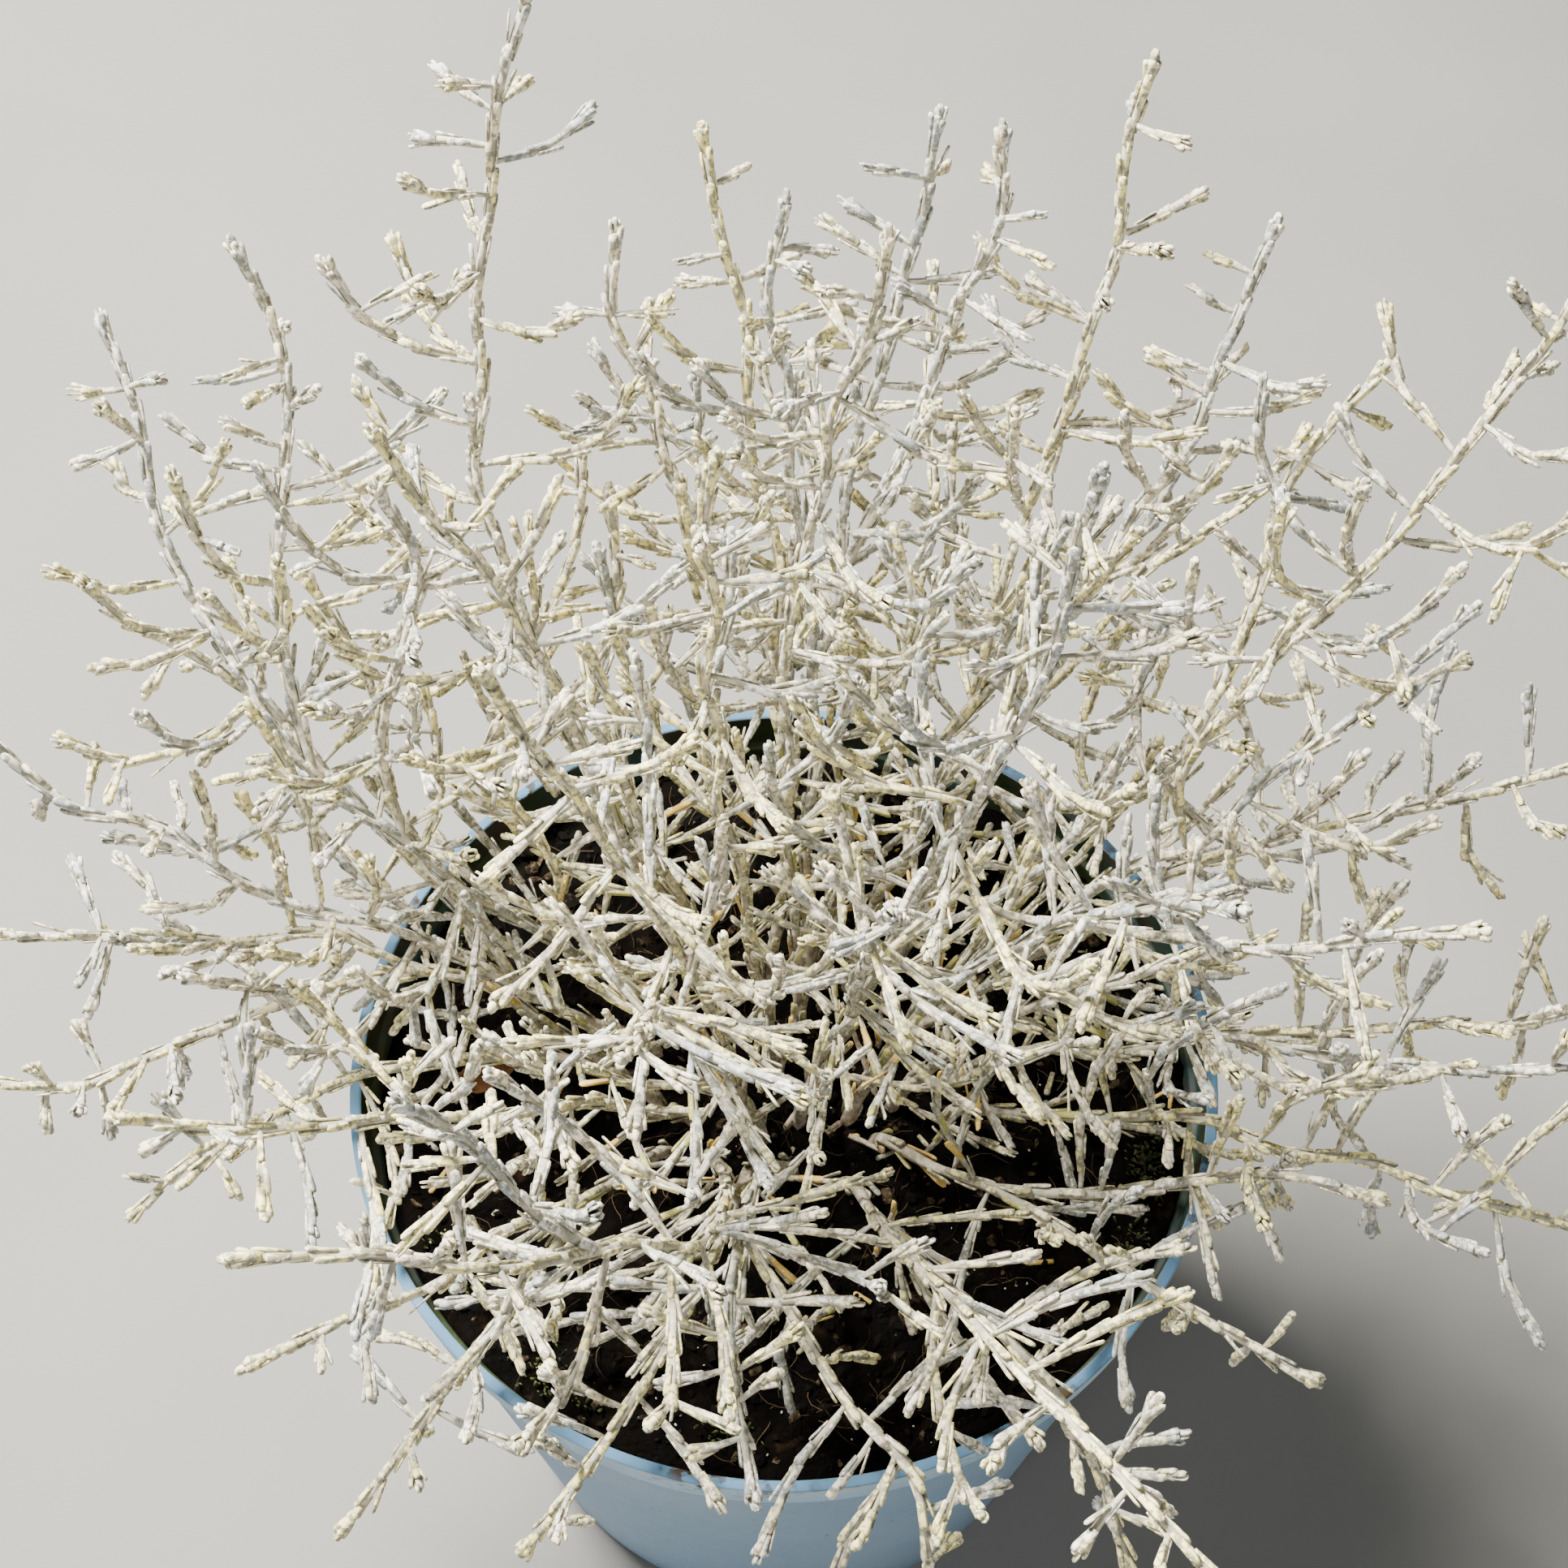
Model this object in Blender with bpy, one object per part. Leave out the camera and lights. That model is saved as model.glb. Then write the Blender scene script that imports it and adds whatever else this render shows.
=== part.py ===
"""A cushion bush growing in a nursery pot.

Metres, +Z up. The origin is the middle of the pot's underside. The front of the plant, the
side it is seen from, faces -Y, so azimuth 0 is the right (+X) and azimuth 90 is the back (+Y).
"""

import itertools
import math
import random

import bmesh
import bpy
from mathutils import Matrix, Vector, noise

MM = 0.001
UP = Vector((0, 0, 1))
GOLDEN_ANGLE = math.radians(137.5)
GAP = 0.3 * MM  # clearance between two pieces that touch on the real plant

# Pot: a 13 cm nursery pot with a thin tapered wall, and a lip band that steps out and so leaves
# a narrow ledge inside
POT_HEIGHT = 110 * MM
RIM_RADIUS = 65 * MM
BASE_RADIUS = 49.5 * MM
WALL = 1.0 * MM
LIP_HEIGHT = 8.5 * MM
LIP_STEP = 1.3 * MM
LIP_TAPER = 1.0 * MM
RIM_WIDTH = 1.7 * MM
EDGE = 0.7 * MM
FLOOR = 1.4 * MM
FLOOR_RISE = 2.0 * MM
CENTRE_PAD_RADIUS = 14 * MM
FOOT_WIDTH = 3.5 * MM
DRAIN_HOLES = 6
DRAIN_HOLE_RADIUS = 4.5 * MM
DRAIN_CIRCLE_RADIUS = 31 * MM
POT_SIDES = 36
DRAIN_SIDES = 8

# Soil: filled to a finger's breadth under the rim, and uneven on top
SOIL_BELOW_RIM = 8 * MM
SOIL_RELIEF = 0.8 * MM
SOIL_LUMP = 9 * MM
SOIL_SWELL = 27 * MM
SOIL_SHOULDER = 2.6 * MM
SOIL_RINGS = 4
SOIL_SIDES = 24
HOLE_RADIUS = 2.4 * MM
HOLE_SIDES = 5

# Stems: each one stands upright in its hole and then leans out towards its tip
STEM_DEPTH = 25 * MM
STEM_COLLAR = 3 * MM
ROOT_SPACING = 6.4 * MM
ROOT_SPREAD = 0.2
ROOT_PUSHES = 60
STEM_LEAN_MOST = 0.9
STEM_LEAN_SHARE = 0.5
STEM_LEAN_HEIGHT = 45
STEM_RISE = 0.44
STEM_ARRIVAL = 0.36
STEM_RADIUS = 1.5 * MM
STEM_TIP_RADIUS = 1.1 * MM
STEM_KNOT = 13.5 * MM
STEM_KINK = 1.5 * MM
ARCH_OVER_CHORD = 1.1

# Side shoots and twiglets, with radii to the corners of their three-sided rings
SHOOT_RADIUS = 1.2 * MM
TWIGLET_RADIUS = 1.0 * MM
CLUB_RADIUS = 1.65 * MM
CLUB_HOLLOW = 1.2 * MM
TWIGLET_CLUB = 1.35
NECK = 2.6 * MM
BARE_START = 24 * MM
FORK_BARE_START = 14 * MM
SHOOT_SPACING = 12.8 * MM
SHOOT_LEAST = 9 * MM
SHOOT_MOST = 45 * MM
SHOOT_TAPER = 0.5
SHOOT_EXTRA = 4 * MM
SHOOT_VARIES = (0.75, 1.15)
SHOOT_KNOT = 9.5 * MM
SHOOT_ANGLE = 84
SHOOT_ANGLE_VARIES = 14
SHOOT_TRIES = 6
SHOOT_SHORTENS = 0.12
SHOOT_RISE = 0.25
SHOOT_JITTER = 0.12
TWIGLET_FROM = 27 * MM
TWIGLET_LENGTH = 7.5 * MM
TWIGLET_SEATS = (0.5, 0.75)
TWIG_CLEARANCE = 0.6 * MM
POT_CLEARANCE = 1 * MM
ROOT_OWN_REACH = 2 * MM
SHOOT_OWN_REACH = 6 * MM
FORK_OWN_REACH = 18 * MM
LEADER_TURNS = range(-12, 13, 3)
LEADER_BOWS = range(-16, 17, 8)
SAMPLE = 1.2 * MM
CELL = 5 * MM

# One row for each leader, read off the plant: its stem, how far along the stem's first leader it
# forks off (0 for that first leader itself), the tip's azimuth in degrees, its reach from the
# pot's axis and its height over the rim in millimetres, the pitch of the last stretch in
# degrees over level, and how far it bows sideways in millimetres.
LEADERS = (
    # the tall ones at the back, from left to right
    (1, 0, 111, 90, 128, 75, 26),
    (2, 0, 97, 90, 100, 60, -6),
    (2, 0.5, 106, 84, 90, 55, 4),
    (3, 0, 80, 92, 102, 65, 6),
    (3, 0.5, 90, 84, 92, 60, 4),
    (3, 0.6, 71, 90, 104, 60, -4),
    (4, 0, 61, 99, 114, 70, -6),
    (4, 0.45, 50, 104, 92, 55, -6),
    (5, 0, 32, 124, 108, 65, -10),
    (5, 0.5, 39, 106, 78, 50, 6),
    # the crown
    (6, 0, 7, 34, 128, 85, -6),
    (7, 0, 114, 20, 114, 85, 5),
    (8, 0, 195, 34, 110, 70, 8),
    (9, 0, 290, 34, 98, 65, 6),
    (10, 0, 150, 56, 108, 65, -6),
    (11, 0, 76, 52, 118, 75, 8),
    (12, 0, 250, 50, 94, 50, -8),
    (13, 0, 330, 58, 94, 50, 8),
    # the left side
    (14, 0, 144, 114, 87, 40, 28),
    (14, 0.6, 135, 104, 94, 60, -4),
    (14, 0.5, 146, 62, 90, 60, -4),
    (15, 0, 170, 108, 56, 30, 8),
    (15, 0.4, 158, 98, 62, 40, -6),
    (16, 0, 177, 113, 28, 15, -8),
    (16, 0.5, 184, 116, 10, 5, 4),
    (17, 0, 192, 98, -8, -40, -6),
    (18, 0, 205, 88, 58, 30, 8),
    # the front, where short sprays hang over the rim
    (19, 0, 226, 86, 74, 25, 30),
    (19, 0.7, 232, 66, 92, 55, 0),
    (20, 0, 218, 88, 20, 0, 6),
    (20, 0.5, 228, 90, -8, -30, 4),
    (21, 0, 244, 79, -4, -70, 6),
    (22, 0, 264, 74, 30, 0, -8),
    (22, 0.6, 284, 80, -8, -70, 6),
    (23, 0, 300, 102, 40, -20, -8),
    (23, 0.5, 303, 86, -8, -45, 4),
    (24, 0, 325, 88, 4, -20, -6),
    (24, 0.5, 341, 86, 14, 10, 4),
    # the right side, where the longest sprays lie out past the pot
    (25, 0, 350, 132, -16, -30, -8),
    (26, 0, 3, 132, 10, 10, -8),
    (26, 0.5, 355, 114, 18, 20, 6),
    (27, 0, 12, 126, 46, 35, 8),
    (28, 0, 348, 86, 70, 45, 6),
    (29, 0, 20, 98, 66, 40, -8),
    # low at the back
    (30, 0, 48, 122, 38, 30, 8),
    (31, 0, 78, 112, 54, 40, -8),
    (31, 0.5, 101, 114, 44, 35, 8),
    (32, 0, 130, 116, 36, 30, -6),
)

BED_Z = POT_HEIGHT - SOIL_BELOW_RIM


def wall_radius(z):
    """Outer radius of the pot's tapered wall at height z."""
    under_lip = RIM_RADIUS - LIP_TAPER - LIP_STEP
    return BASE_RADIUS + (under_lip - BASE_RADIUS) * z / (POT_HEIGHT - LIP_HEIGHT)


def principled(name, colour, roughness):
    material = bpy.data.materials.new(name)
    material.use_nodes = True
    shader = material.node_tree.nodes["Principled BSDF"]
    shader.inputs["Base Color"].default_value = (*colour, 1)
    shader.inputs["Roughness"].default_value = roughness
    return material


def add_object(name, bm, material=None):
    bmesh.ops.recalc_face_normals(bm, faces=bm.faces)
    mesh = bpy.data.meshes.new(name)
    bm.to_mesh(mesh)
    bm.free()
    thing = bpy.data.objects.new(name, mesh)
    bpy.context.scene.collection.objects.link(thing)
    if material:
        mesh.materials.append(material)
    return thing


def combine(target, others, operation):
    """Apply one Boolean with all the others to the target, and remove them."""
    group = bpy.data.collections.new(target.name + "_" + operation.lower())
    bpy.context.scene.collection.children.link(group)
    for other in others:
        bpy.context.scene.collection.objects.unlink(other)
        group.objects.link(other)
    modifier = target.modifiers.new(operation.title(), "BOOLEAN")
    modifier.operation = operation
    modifier.operand_type = "COLLECTION"
    modifier.collection = group
    modifier.solver = "EXACT"
    graph = bpy.context.evaluated_depsgraph_get()
    plain = target.data
    target.data = bpy.data.meshes.new_from_object(target.evaluated_get(graph))
    target.data.name = target.name
    target.modifiers.clear()
    bpy.data.meshes.remove(plain)
    for other in others:
        mesh = other.data
        bpy.data.objects.remove(other)
        bpy.data.meshes.remove(mesh)
    bpy.data.collections.remove(group)


def turned(profile, sides):
    """A closed solid turned round the Z axis from a profile that starts and ends on it."""
    bm = bmesh.new()
    rings = []
    for radius, z in profile:
        if radius == 0:
            rings.append([bm.verts.new((0, 0, z))])
            continue
        turn = 2 * math.pi / sides
        spots = [(radius * math.cos(k * turn), radius * math.sin(k * turn), z) for k in range(sides)]
        rings.append([bm.verts.new(spot) for spot in spots])
    for low, high in zip(rings, rings[1:]):
        for k in range(sides):
            corners = [low[k % len(low)], low[(k + 1) % len(low)]]
            corners += [high[(k + 1) % len(high)], high[k % len(high)]]
            bm.faces.new(dict.fromkeys(corners))
    return bm


def prism(name, centre, radius, sides, bottom, top):
    bm = bmesh.new()
    place = Matrix.Translation((centre[0], centre[1], (bottom + top) / 2))
    bmesh.ops.create_cone(
        bm, cap_ends=True, segments=sides, radius1=radius, radius2=radius,
        depth=top - bottom, matrix=place,
    )
    return add_object(name, bm)


def make_pot():
    lip_foot = POT_HEIGHT - LIP_HEIGHT
    pad_edge = CENTRE_PAD_RADIUS + FLOOR_RISE
    foot_inside = BASE_RADIUS - FOOT_WIDTH
    inner_floor = FLOOR_RISE + FLOOR
    ledge = lip_foot + EDGE + WALL
    profile = [
        (0, 0),
        (CENTRE_PAD_RADIUS, 0),
        (pad_edge, FLOOR_RISE),
        (foot_inside - FLOOR_RISE, FLOOR_RISE),
        (foot_inside, 0),
        (BASE_RADIUS - EDGE, 0),
        (wall_radius(EDGE), EDGE),
        (wall_radius(lip_foot), lip_foot),
        (wall_radius(lip_foot) + LIP_STEP, lip_foot + EDGE),
        (RIM_RADIUS, POT_HEIGHT - EDGE),
        (RIM_RADIUS - EDGE / 2, POT_HEIGHT),
        (RIM_RADIUS - RIM_WIDTH, POT_HEIGHT),
        (RIM_RADIUS - RIM_WIDTH - EDGE / 2, POT_HEIGHT - EDGE),
        (wall_radius(lip_foot) + LIP_STEP - WALL - EDGE / 4, ledge + EDGE / 2),
        (wall_radius(lip_foot) - WALL, ledge),
        (wall_radius(inner_floor) - WALL, inner_floor),
        (pad_edge + EDGE / 2, inner_floor),
        (CENTRE_PAD_RADIUS + EDGE / 2, FLOOR),
        (0, FLOOR),
    ]
    plastic = principled("pot_plastic", (0.42, 0.55, 0.70), 0.45)
    pot = add_object("pot", turned(profile, POT_SIDES), plastic)
    drains = []
    for k in range(DRAIN_HOLES):
        turn = 2 * math.pi * k / DRAIN_HOLES
        centre = DRAIN_CIRCLE_RADIUS * Vector((math.cos(turn), math.sin(turn)))
        ends = (FLOOR_RISE - EDGE, inner_floor + EDGE)
        drains.append(prism(f"drain_{k}", centre, DRAIN_HOLE_RADIUS, DRAIN_SIDES, *ends))
    combine(pot, drains, "DIFFERENCE")
    pot.data.shade_smooth()
    pot.data.set_sharp_from_angle(angle=math.radians(35))
    return pot


def soil_height(x, y):
    """Top of the soil: a slow swell with small lumps on it."""
    swell = noise.noise(Vector((x, y, 0)) / SOIL_SWELL)
    lumps = noise.noise(Vector((x, y, SOIL_LUMP)) / SOIL_LUMP)
    return BED_Z + SOIL_RELIEF * (swell + lumps)


def make_soil(roots):
    inner_floor = FLOOR_RISE + FLOOR + GAP
    edge = wall_radius(BED_Z) - WALL - 2 * GAP
    shoulder_z = BED_Z - SOIL_SHOULDER
    profile = [
        (0, FLOOR + GAP),
        (CENTRE_PAD_RADIUS, FLOOR + GAP),
        (CENTRE_PAD_RADIUS + FLOOR_RISE, inner_floor),
        (wall_radius(inner_floor) - WALL - 2 * GAP, inner_floor),
        (wall_radius(shoulder_z) - WALL - 2 * GAP, shoulder_z),
    ]
    profile += [(edge * k / SOIL_RINGS, BED_Z) for k in range(SOIL_RINGS, -1, -1)]
    bm = turned(profile, SOIL_SIDES)
    for vert in bm.verts:
        if vert.co.z > shoulder_z + GAP:
            vert.co.z = soil_height(vert.co.x, vert.co.y)
    soil = add_object("soil", bm, principled("peat", (0.025, 0.017, 0.012), 0.95))
    holes = []
    for stem, root in roots.items():
        ends = (BED_Z - STEM_DEPTH - 2 * GAP, POT_HEIGHT)
        holes.append(prism(f"hole_{stem}", root, HOLE_RADIUS, HOLE_SIDES, *ends))
    combine(soil, holes, "DIFFERENCE")
    return soil


def polar(azimuth, reach, z):
    turn = math.radians(azimuth)
    return Vector((reach * math.cos(turn), reach * math.sin(turn), z))


def place_roots():
    """A root for each stem, under the way it leans, with the crowded ones pushed apart."""
    roots = {}
    for stem, fork_at, azimuth, reach, *_ in LEADERS:
        if not fork_at:
            roots[stem] = polar(azimuth, reach * MM * ROOT_SPREAD, BED_Z)
    for _ in range(ROOT_PUSHES):
        for one, other in itertools.combinations(roots.values(), 2):
            apart = other - one
            push = (ROOT_SPACING - apart.length) / 2
            if push > 0:
                one -= apart.normalized() * push
                other += apart.normalized() * push
    return roots


def pot_is_clear(point, radius):
    """True where a twig of this radius keeps off the soil, the wall and the rim."""
    room = radius + POT_CLEARANCE
    reach = math.hypot(point.x, point.y)
    if point.z > POT_HEIGHT + room:
        return True
    if reach < wall_radius(BED_Z) - WALL - room:
        return point.z > BED_Z + 2 * SOIL_RELIEF + room
    return reach > RIM_RADIUS + room


class Thicket:
    """Where twigs already run, so that a new one can be bent clear or left out."""

    def __init__(self):
        self.cells = {}

    def samples(self, knots):
        """Points every millimetre or so along a path, each with its radius and distance."""
        travelled = 0
        for (start, start_radius), (end, end_radius) in zip(knots, knots[1:]):
            length = (end - start).length
            count = max(1, math.ceil(length / SAMPLE))
            for k in range(1, count + 1):
                part = k / count
                radius = start_radius + (end_radius - start_radius) * part
                yield start.lerp(end, part), radius, travelled + length * part
            travelled += length

    def key(self, point):
        return tuple(math.floor(value / CELL) for value in point)

    def add(self, knots, owner):
        for point, radius, _ in self.samples(knots):
            self.cells.setdefault(self.key(point), []).append((point, radius, owner))

    def is_clear(self, knots, owner, own_reach):
        """True where a path meets neither the pot, the soil nor another twig. It may still lie
        near its own stem over its first stretch, own_reach long."""
        for point, radius, distance in self.samples(knots):
            if distance > own_reach and not pot_is_clear(point, radius):
                return False
            for shift in itertools.product((-CELL, 0, CELL), repeat=3):
                cell = self.key(point + Vector(shift))
                for other, other_radius, other_owner in self.cells.get(cell, ()):
                    if other_owner == owner and distance < own_reach:
                        continue
                    if (point - other).length < radius + other_radius + TWIG_CLEARANCE:
                        return False
        return True


def leader_knots(row, start, leaving, turn_by, bow_by):
    """The knots of a leader, along one arch from its start to its tip."""
    azimuth, reach, height, pitch, bow = row[2:]
    azimuth += turn_by
    tip = polar(azimuth, reach * MM, POT_HEIGHT + height * MM)
    outward = polar(azimuth, 1, 0)
    sideways = UP.cross(outward)
    span = (tip - start).length
    slope = math.radians(pitch)
    arriving = outward * math.cos(slope) + UP * math.sin(slope)
    aside = sideways * (bow + bow_by) * MM
    first = start + leaving * span * STEM_RISE + aside
    second = tip - arriving * span * STEM_ARRIVAL + aside
    count = max(3, round(span * ARCH_OVER_CHORD / STEM_KNOT))
    rng = random.Random(1000 * row[0] + row[2])
    knots = [(start, STEM_RADIUS)]
    for k in range(1, count + 1):
        t = k / count
        point = (
            start * (1 - t) ** 3 + first * 3 * t * (1 - t) ** 2
            + second * 3 * t * t * (1 - t) + tip * t ** 3
        )
        kink = sideways * rng.uniform(-1, 1) + outward.cross(sideways) * rng.uniform(-1, 1)
        radius = STEM_RADIUS + (STEM_TIP_RADIUS - STEM_RADIUS) * t
        knots.append((point + kink * STEM_KINK, radius))
    knots[-1] = (tip, CLUB_RADIUS)
    return knots


def first_leader(row, root, turn_by, bow_by):
    """A stem's first leader: straight up out of its hole, and then out to its tip."""
    azimuth, reach, height = row[2:5]
    outward = polar(azimuth + turn_by, 1, 0)
    lean = min(STEM_LEAN_MOST, STEM_LEAN_SHARE * reach / (height + STEM_LEAN_HEIGHT))
    leaving = (UP + outward * lean).normalized()
    above = leader_knots(row, root + UP * STEM_COLLAR, leaving, turn_by, bow_by)
    return [(root - UP * STEM_DEPTH, STEM_RADIUS)] + above


def fork_leader(row, parent, turn_by, bow_by):
    """A leader that forks off its stem's first one."""
    start, axis = along(parent, row[1] * path_length(parent))
    tip = polar(row[2] + turn_by, row[3] * MM, POT_HEIGHT + row[4] * MM)
    leaving = (axis + (tip - start).normalized()).normalized()
    return leader_knots(row, start, leaving, turn_by, bow_by)


def shoot_knots(rng, start, heading, axis, length, radius):
    """The knots of a side shoot that leaves along its heading and then curves more and more,
    upwards and the way its parent grows. It starts as a point inside its parent and fills out
    over its neck."""
    count = max(1, round(length / SHOOT_KNOT))
    knots = [(start, 0), (start + heading * NECK, radius)]
    for k in range(count):
        jitter = Vector((rng.uniform(-1, 1), rng.uniform(-1, 1), rng.uniform(-1, 1)))
        bend = (UP + axis) * (SHOOT_RISE * k)
        heading = (heading + bend + jitter * SHOOT_JITTER).normalized()
        knots.append((knots[-1][0] + heading * (length - NECK) / count, radius))
    knots[-1] = (knots[-1][0], CLUB_RADIUS if length > SHOOT_LEAST else radius * TWIGLET_CLUB)
    return knots


def along(knots, distance):
    """The point and the heading at a distance along a path."""
    for (start, _), (end, _) in zip(knots, knots[1:]):
        length = (end - start).length
        if distance <= length:
            return start.lerp(end, distance / length), (end - start).normalized()
        distance -= length
    return knots[-1][0], (knots[-1][0] - knots[-2][0]).normalized()


def path_length(knots):
    return sum((end[0] - start[0]).length for start, end in zip(knots, knots[1:]))


def side_heading(axis, turn, angle):
    """A heading at this angle from the axis, turned round it."""
    across = axis.orthogonal().normalized()
    across.rotate(Matrix.Rotation(turn, 3, axis))
    slope = math.radians(angle)
    return (axis * math.cos(slope) + across * math.sin(slope)).normalized()


def grow_shoot(thicket, rng, owner, parent, distance, turn, length, radius):
    """A side shoot that finds room, tried at a few turns and lengths, or None."""
    start, axis = along(parent, distance)
    for attempt in range(SHOOT_TRIES):
        angle = SHOOT_ANGLE + rng.uniform(-SHOOT_ANGLE_VARIES, SHOOT_ANGLE_VARIES)
        heading = side_heading(axis, turn + attempt * GOLDEN_ANGLE, angle)
        tried = length * (1 - SHOOT_SHORTENS * attempt)
        knots = shoot_knots(rng, start, heading, axis, tried, radius)
        if thicket.is_clear(knots, owner, SHOOT_OWN_REACH):
            thicket.add(knots, owner)
            return knots
    return None


def grow_leaders(thicket, roots):
    """The leaders of each stem, each swung or bowed aside a little where its way isn't clear."""
    plant = {}
    swings = sorted(
        itertools.product(LEADER_TURNS, LEADER_BOWS),
        key=lambda swing: abs(swing[0]) + abs(swing[1]) / 2,
    )
    for row in LEADERS:
        stem, fork_at = row[:2]
        for turn_by, bow_by in swings:
            if fork_at:
                knots = fork_leader(row, plant[stem][0], turn_by, bow_by)
                clear = thicket.is_clear(knots, stem, FORK_OWN_REACH)
            else:
                knots = first_leader(row, roots[stem], turn_by, bow_by)
                clear = thicket.is_clear(knots[1:], stem, ROOT_OWN_REACH)
            if clear:
                break
        else:
            print("no clear way for the leader", row)
            if fork_at:
                continue
        thicket.add(knots, stem)
        plant.setdefault(stem, []).append(knots)
    return plant


def grow_plant(roots):
    """The paths of every stem with its side shoots and twiglets, as lists of knots."""
    thicket = Thicket()
    plant = grow_leaders(thicket, roots)
    for stem, paths in plant.items():
        rng = random.Random(stem)
        for number, leader in enumerate(list(paths)):
            buried = STEM_DEPTH + BARE_START if number == 0 else FORK_BARE_START
            length = path_length(leader)
            count = round((length - buried - SHOOT_SPACING / 2) / SHOOT_SPACING)
            turn = rng.uniform(0, 2 * math.pi)
            for k in range(count):
                distance = buried + k * SHOOT_SPACING + rng.uniform(-2, 2) * MM
                turn += GOLDEN_ANGLE
                wanted = min(SHOOT_MOST, (length - distance) * SHOOT_TAPER + SHOOT_EXTRA)
                wanted *= rng.uniform(*SHOOT_VARIES)
                shoot = grow_shoot(
                    thicket, rng, stem, leader, distance, turn, wanted, SHOOT_RADIUS
                )
                if shoot:
                    paths.append(shoot)
        for shoot in paths[1:]:
            shoot_length = path_length(shoot)
            if shoot_length < TWIGLET_FROM:
                continue
            distance = shoot_length * rng.uniform(*TWIGLET_SEATS)
            turn = rng.uniform(0, 2 * math.pi)
            twiglet = grow_shoot(
                thicket, rng, stem, shoot, distance, turn, TWIGLET_LENGTH, TWIGLET_RADIUS
            )
            if twiglet:
                paths.append(twiglet)
    return plant


def scaly_twig(name, knots):
    """A three-sided twig whose rings are turned by turns, so that their corners stand out as
    scales, with a hollow club of leaf tips at its end. A knot without a radius is a point."""
    bm = bmesh.new()
    rings = []
    across = None
    for k, (point, radius) in enumerate(knots):
        before = knots[max(k - 1, 0)][0]
        after = knots[min(k + 1, len(knots) - 1)][0]
        axis = (after - before).normalized()
        across = axis.orthogonal() if across is None else across - axis * across.dot(axis)
        across.normalize()
        if radius == 0:
            rings.append([bm.verts.new(point)] * 3)
            continue
        corner = across.copy()
        corner.rotate(Matrix.Rotation(math.pi / 3 * (k % 2), 3, axis))
        ring = []
        for _ in range(3):
            ring.append(bm.verts.new(point + corner * radius))
            corner.rotate(Matrix.Rotation(2 * math.pi / 3, 3, axis))
        rings.append(ring)
    for k, (low, high) in enumerate(zip(rings, rings[1:])):
        for i in range(3):
            j = (i + 1) % 3
            halves = [(low[i], low[j], high[i]), (low[j], high[j], high[i])]
            if k % 2:
                halves = [(low[i], low[j], high[j]), (low[i], high[j], high[i])]
            for half in halves:
                if len(set(half)) == 3:
                    bm.faces.new(half)
    if knots[0][1]:
        bm.faces.new(rings[0])
    end, back = knots[-1][0], (knots[-2][0] - knots[-1][0]).normalized()
    middle = bm.verts.new(end + back * CLUB_HOLLOW)
    for i in range(3):
        bm.faces.new((rings[-1][i], rings[-1][(i + 1) % 3], middle))
    return add_object(name, bm)


def make_stem(number, paths):
    name = f"stem_{number:02d}"
    warmth = 0.03 * math.cos(number * GOLDEN_ANGLE)
    felt = principled(name + "_felt", (0.62 + warmth, 0.60, 0.53 - warmth), 0.9)
    stem = scaly_twig(name, paths[0])
    stem.data.materials.append(felt)
    twigs = [scaly_twig(f"{name}_twig_{k}", knots) for k, knots in enumerate(paths[1:])]
    combine(stem, twigs, "UNION")
    return stem


def main():
    for thing in list(bpy.data.objects):
        bpy.data.objects.remove(thing)
    make_pot()
    roots = place_roots()
    make_soil(roots)
    for number, paths in grow_plant(roots).items():
        make_stem(number, paths)


main()
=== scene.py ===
# %% [markdown]
# # A cushion bush in its nursery pot
#
# A cushion bush is a small shrub of thin, stiff twigs, each one wrapped in tiny scale leaves
# that are felted silver. The plain model holds the pot, the soil and 32 stems as simple solids.
# This lesson builds a finer piece in the place of each, by the same growth rule, so that the
# leaves, the clubbed tips and the crumbs of soil can be looked at from close by.
#
# Everything is in metres with +Z up. The photographed side of the plant faces -Y.

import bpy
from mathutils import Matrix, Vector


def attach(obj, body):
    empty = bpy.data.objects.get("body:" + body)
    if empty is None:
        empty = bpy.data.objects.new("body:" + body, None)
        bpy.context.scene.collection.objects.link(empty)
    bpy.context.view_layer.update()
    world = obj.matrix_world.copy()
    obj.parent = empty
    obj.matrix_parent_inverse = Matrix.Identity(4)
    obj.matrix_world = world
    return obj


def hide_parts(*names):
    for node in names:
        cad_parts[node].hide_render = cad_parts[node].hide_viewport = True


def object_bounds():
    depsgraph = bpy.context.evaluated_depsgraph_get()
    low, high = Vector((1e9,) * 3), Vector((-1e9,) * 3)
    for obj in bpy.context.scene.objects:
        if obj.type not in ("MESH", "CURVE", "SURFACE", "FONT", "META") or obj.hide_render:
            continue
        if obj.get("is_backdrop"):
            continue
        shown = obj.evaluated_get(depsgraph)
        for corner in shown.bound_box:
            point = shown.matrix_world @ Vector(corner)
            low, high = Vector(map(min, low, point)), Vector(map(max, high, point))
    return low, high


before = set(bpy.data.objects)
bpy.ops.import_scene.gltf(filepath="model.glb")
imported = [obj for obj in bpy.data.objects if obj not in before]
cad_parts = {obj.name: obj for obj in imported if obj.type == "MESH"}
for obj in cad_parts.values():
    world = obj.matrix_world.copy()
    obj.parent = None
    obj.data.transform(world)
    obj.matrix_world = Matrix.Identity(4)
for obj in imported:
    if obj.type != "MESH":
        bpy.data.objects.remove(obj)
plain_low, plain_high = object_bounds()
print("plain model:", [round(1000 * side) for side in plain_high - plain_low], "mm")

# %% [markdown]
# ## Camera
#
# The picture looks down on the plant from the front, from less than half a metre away. Where the
# camera stood can be worked out from the pot: its round rim shows as an ellipse, and how flat
# that ellipse is gives the angle. The numbers here were found that way, so the render lines up
# with the plant.

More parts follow.
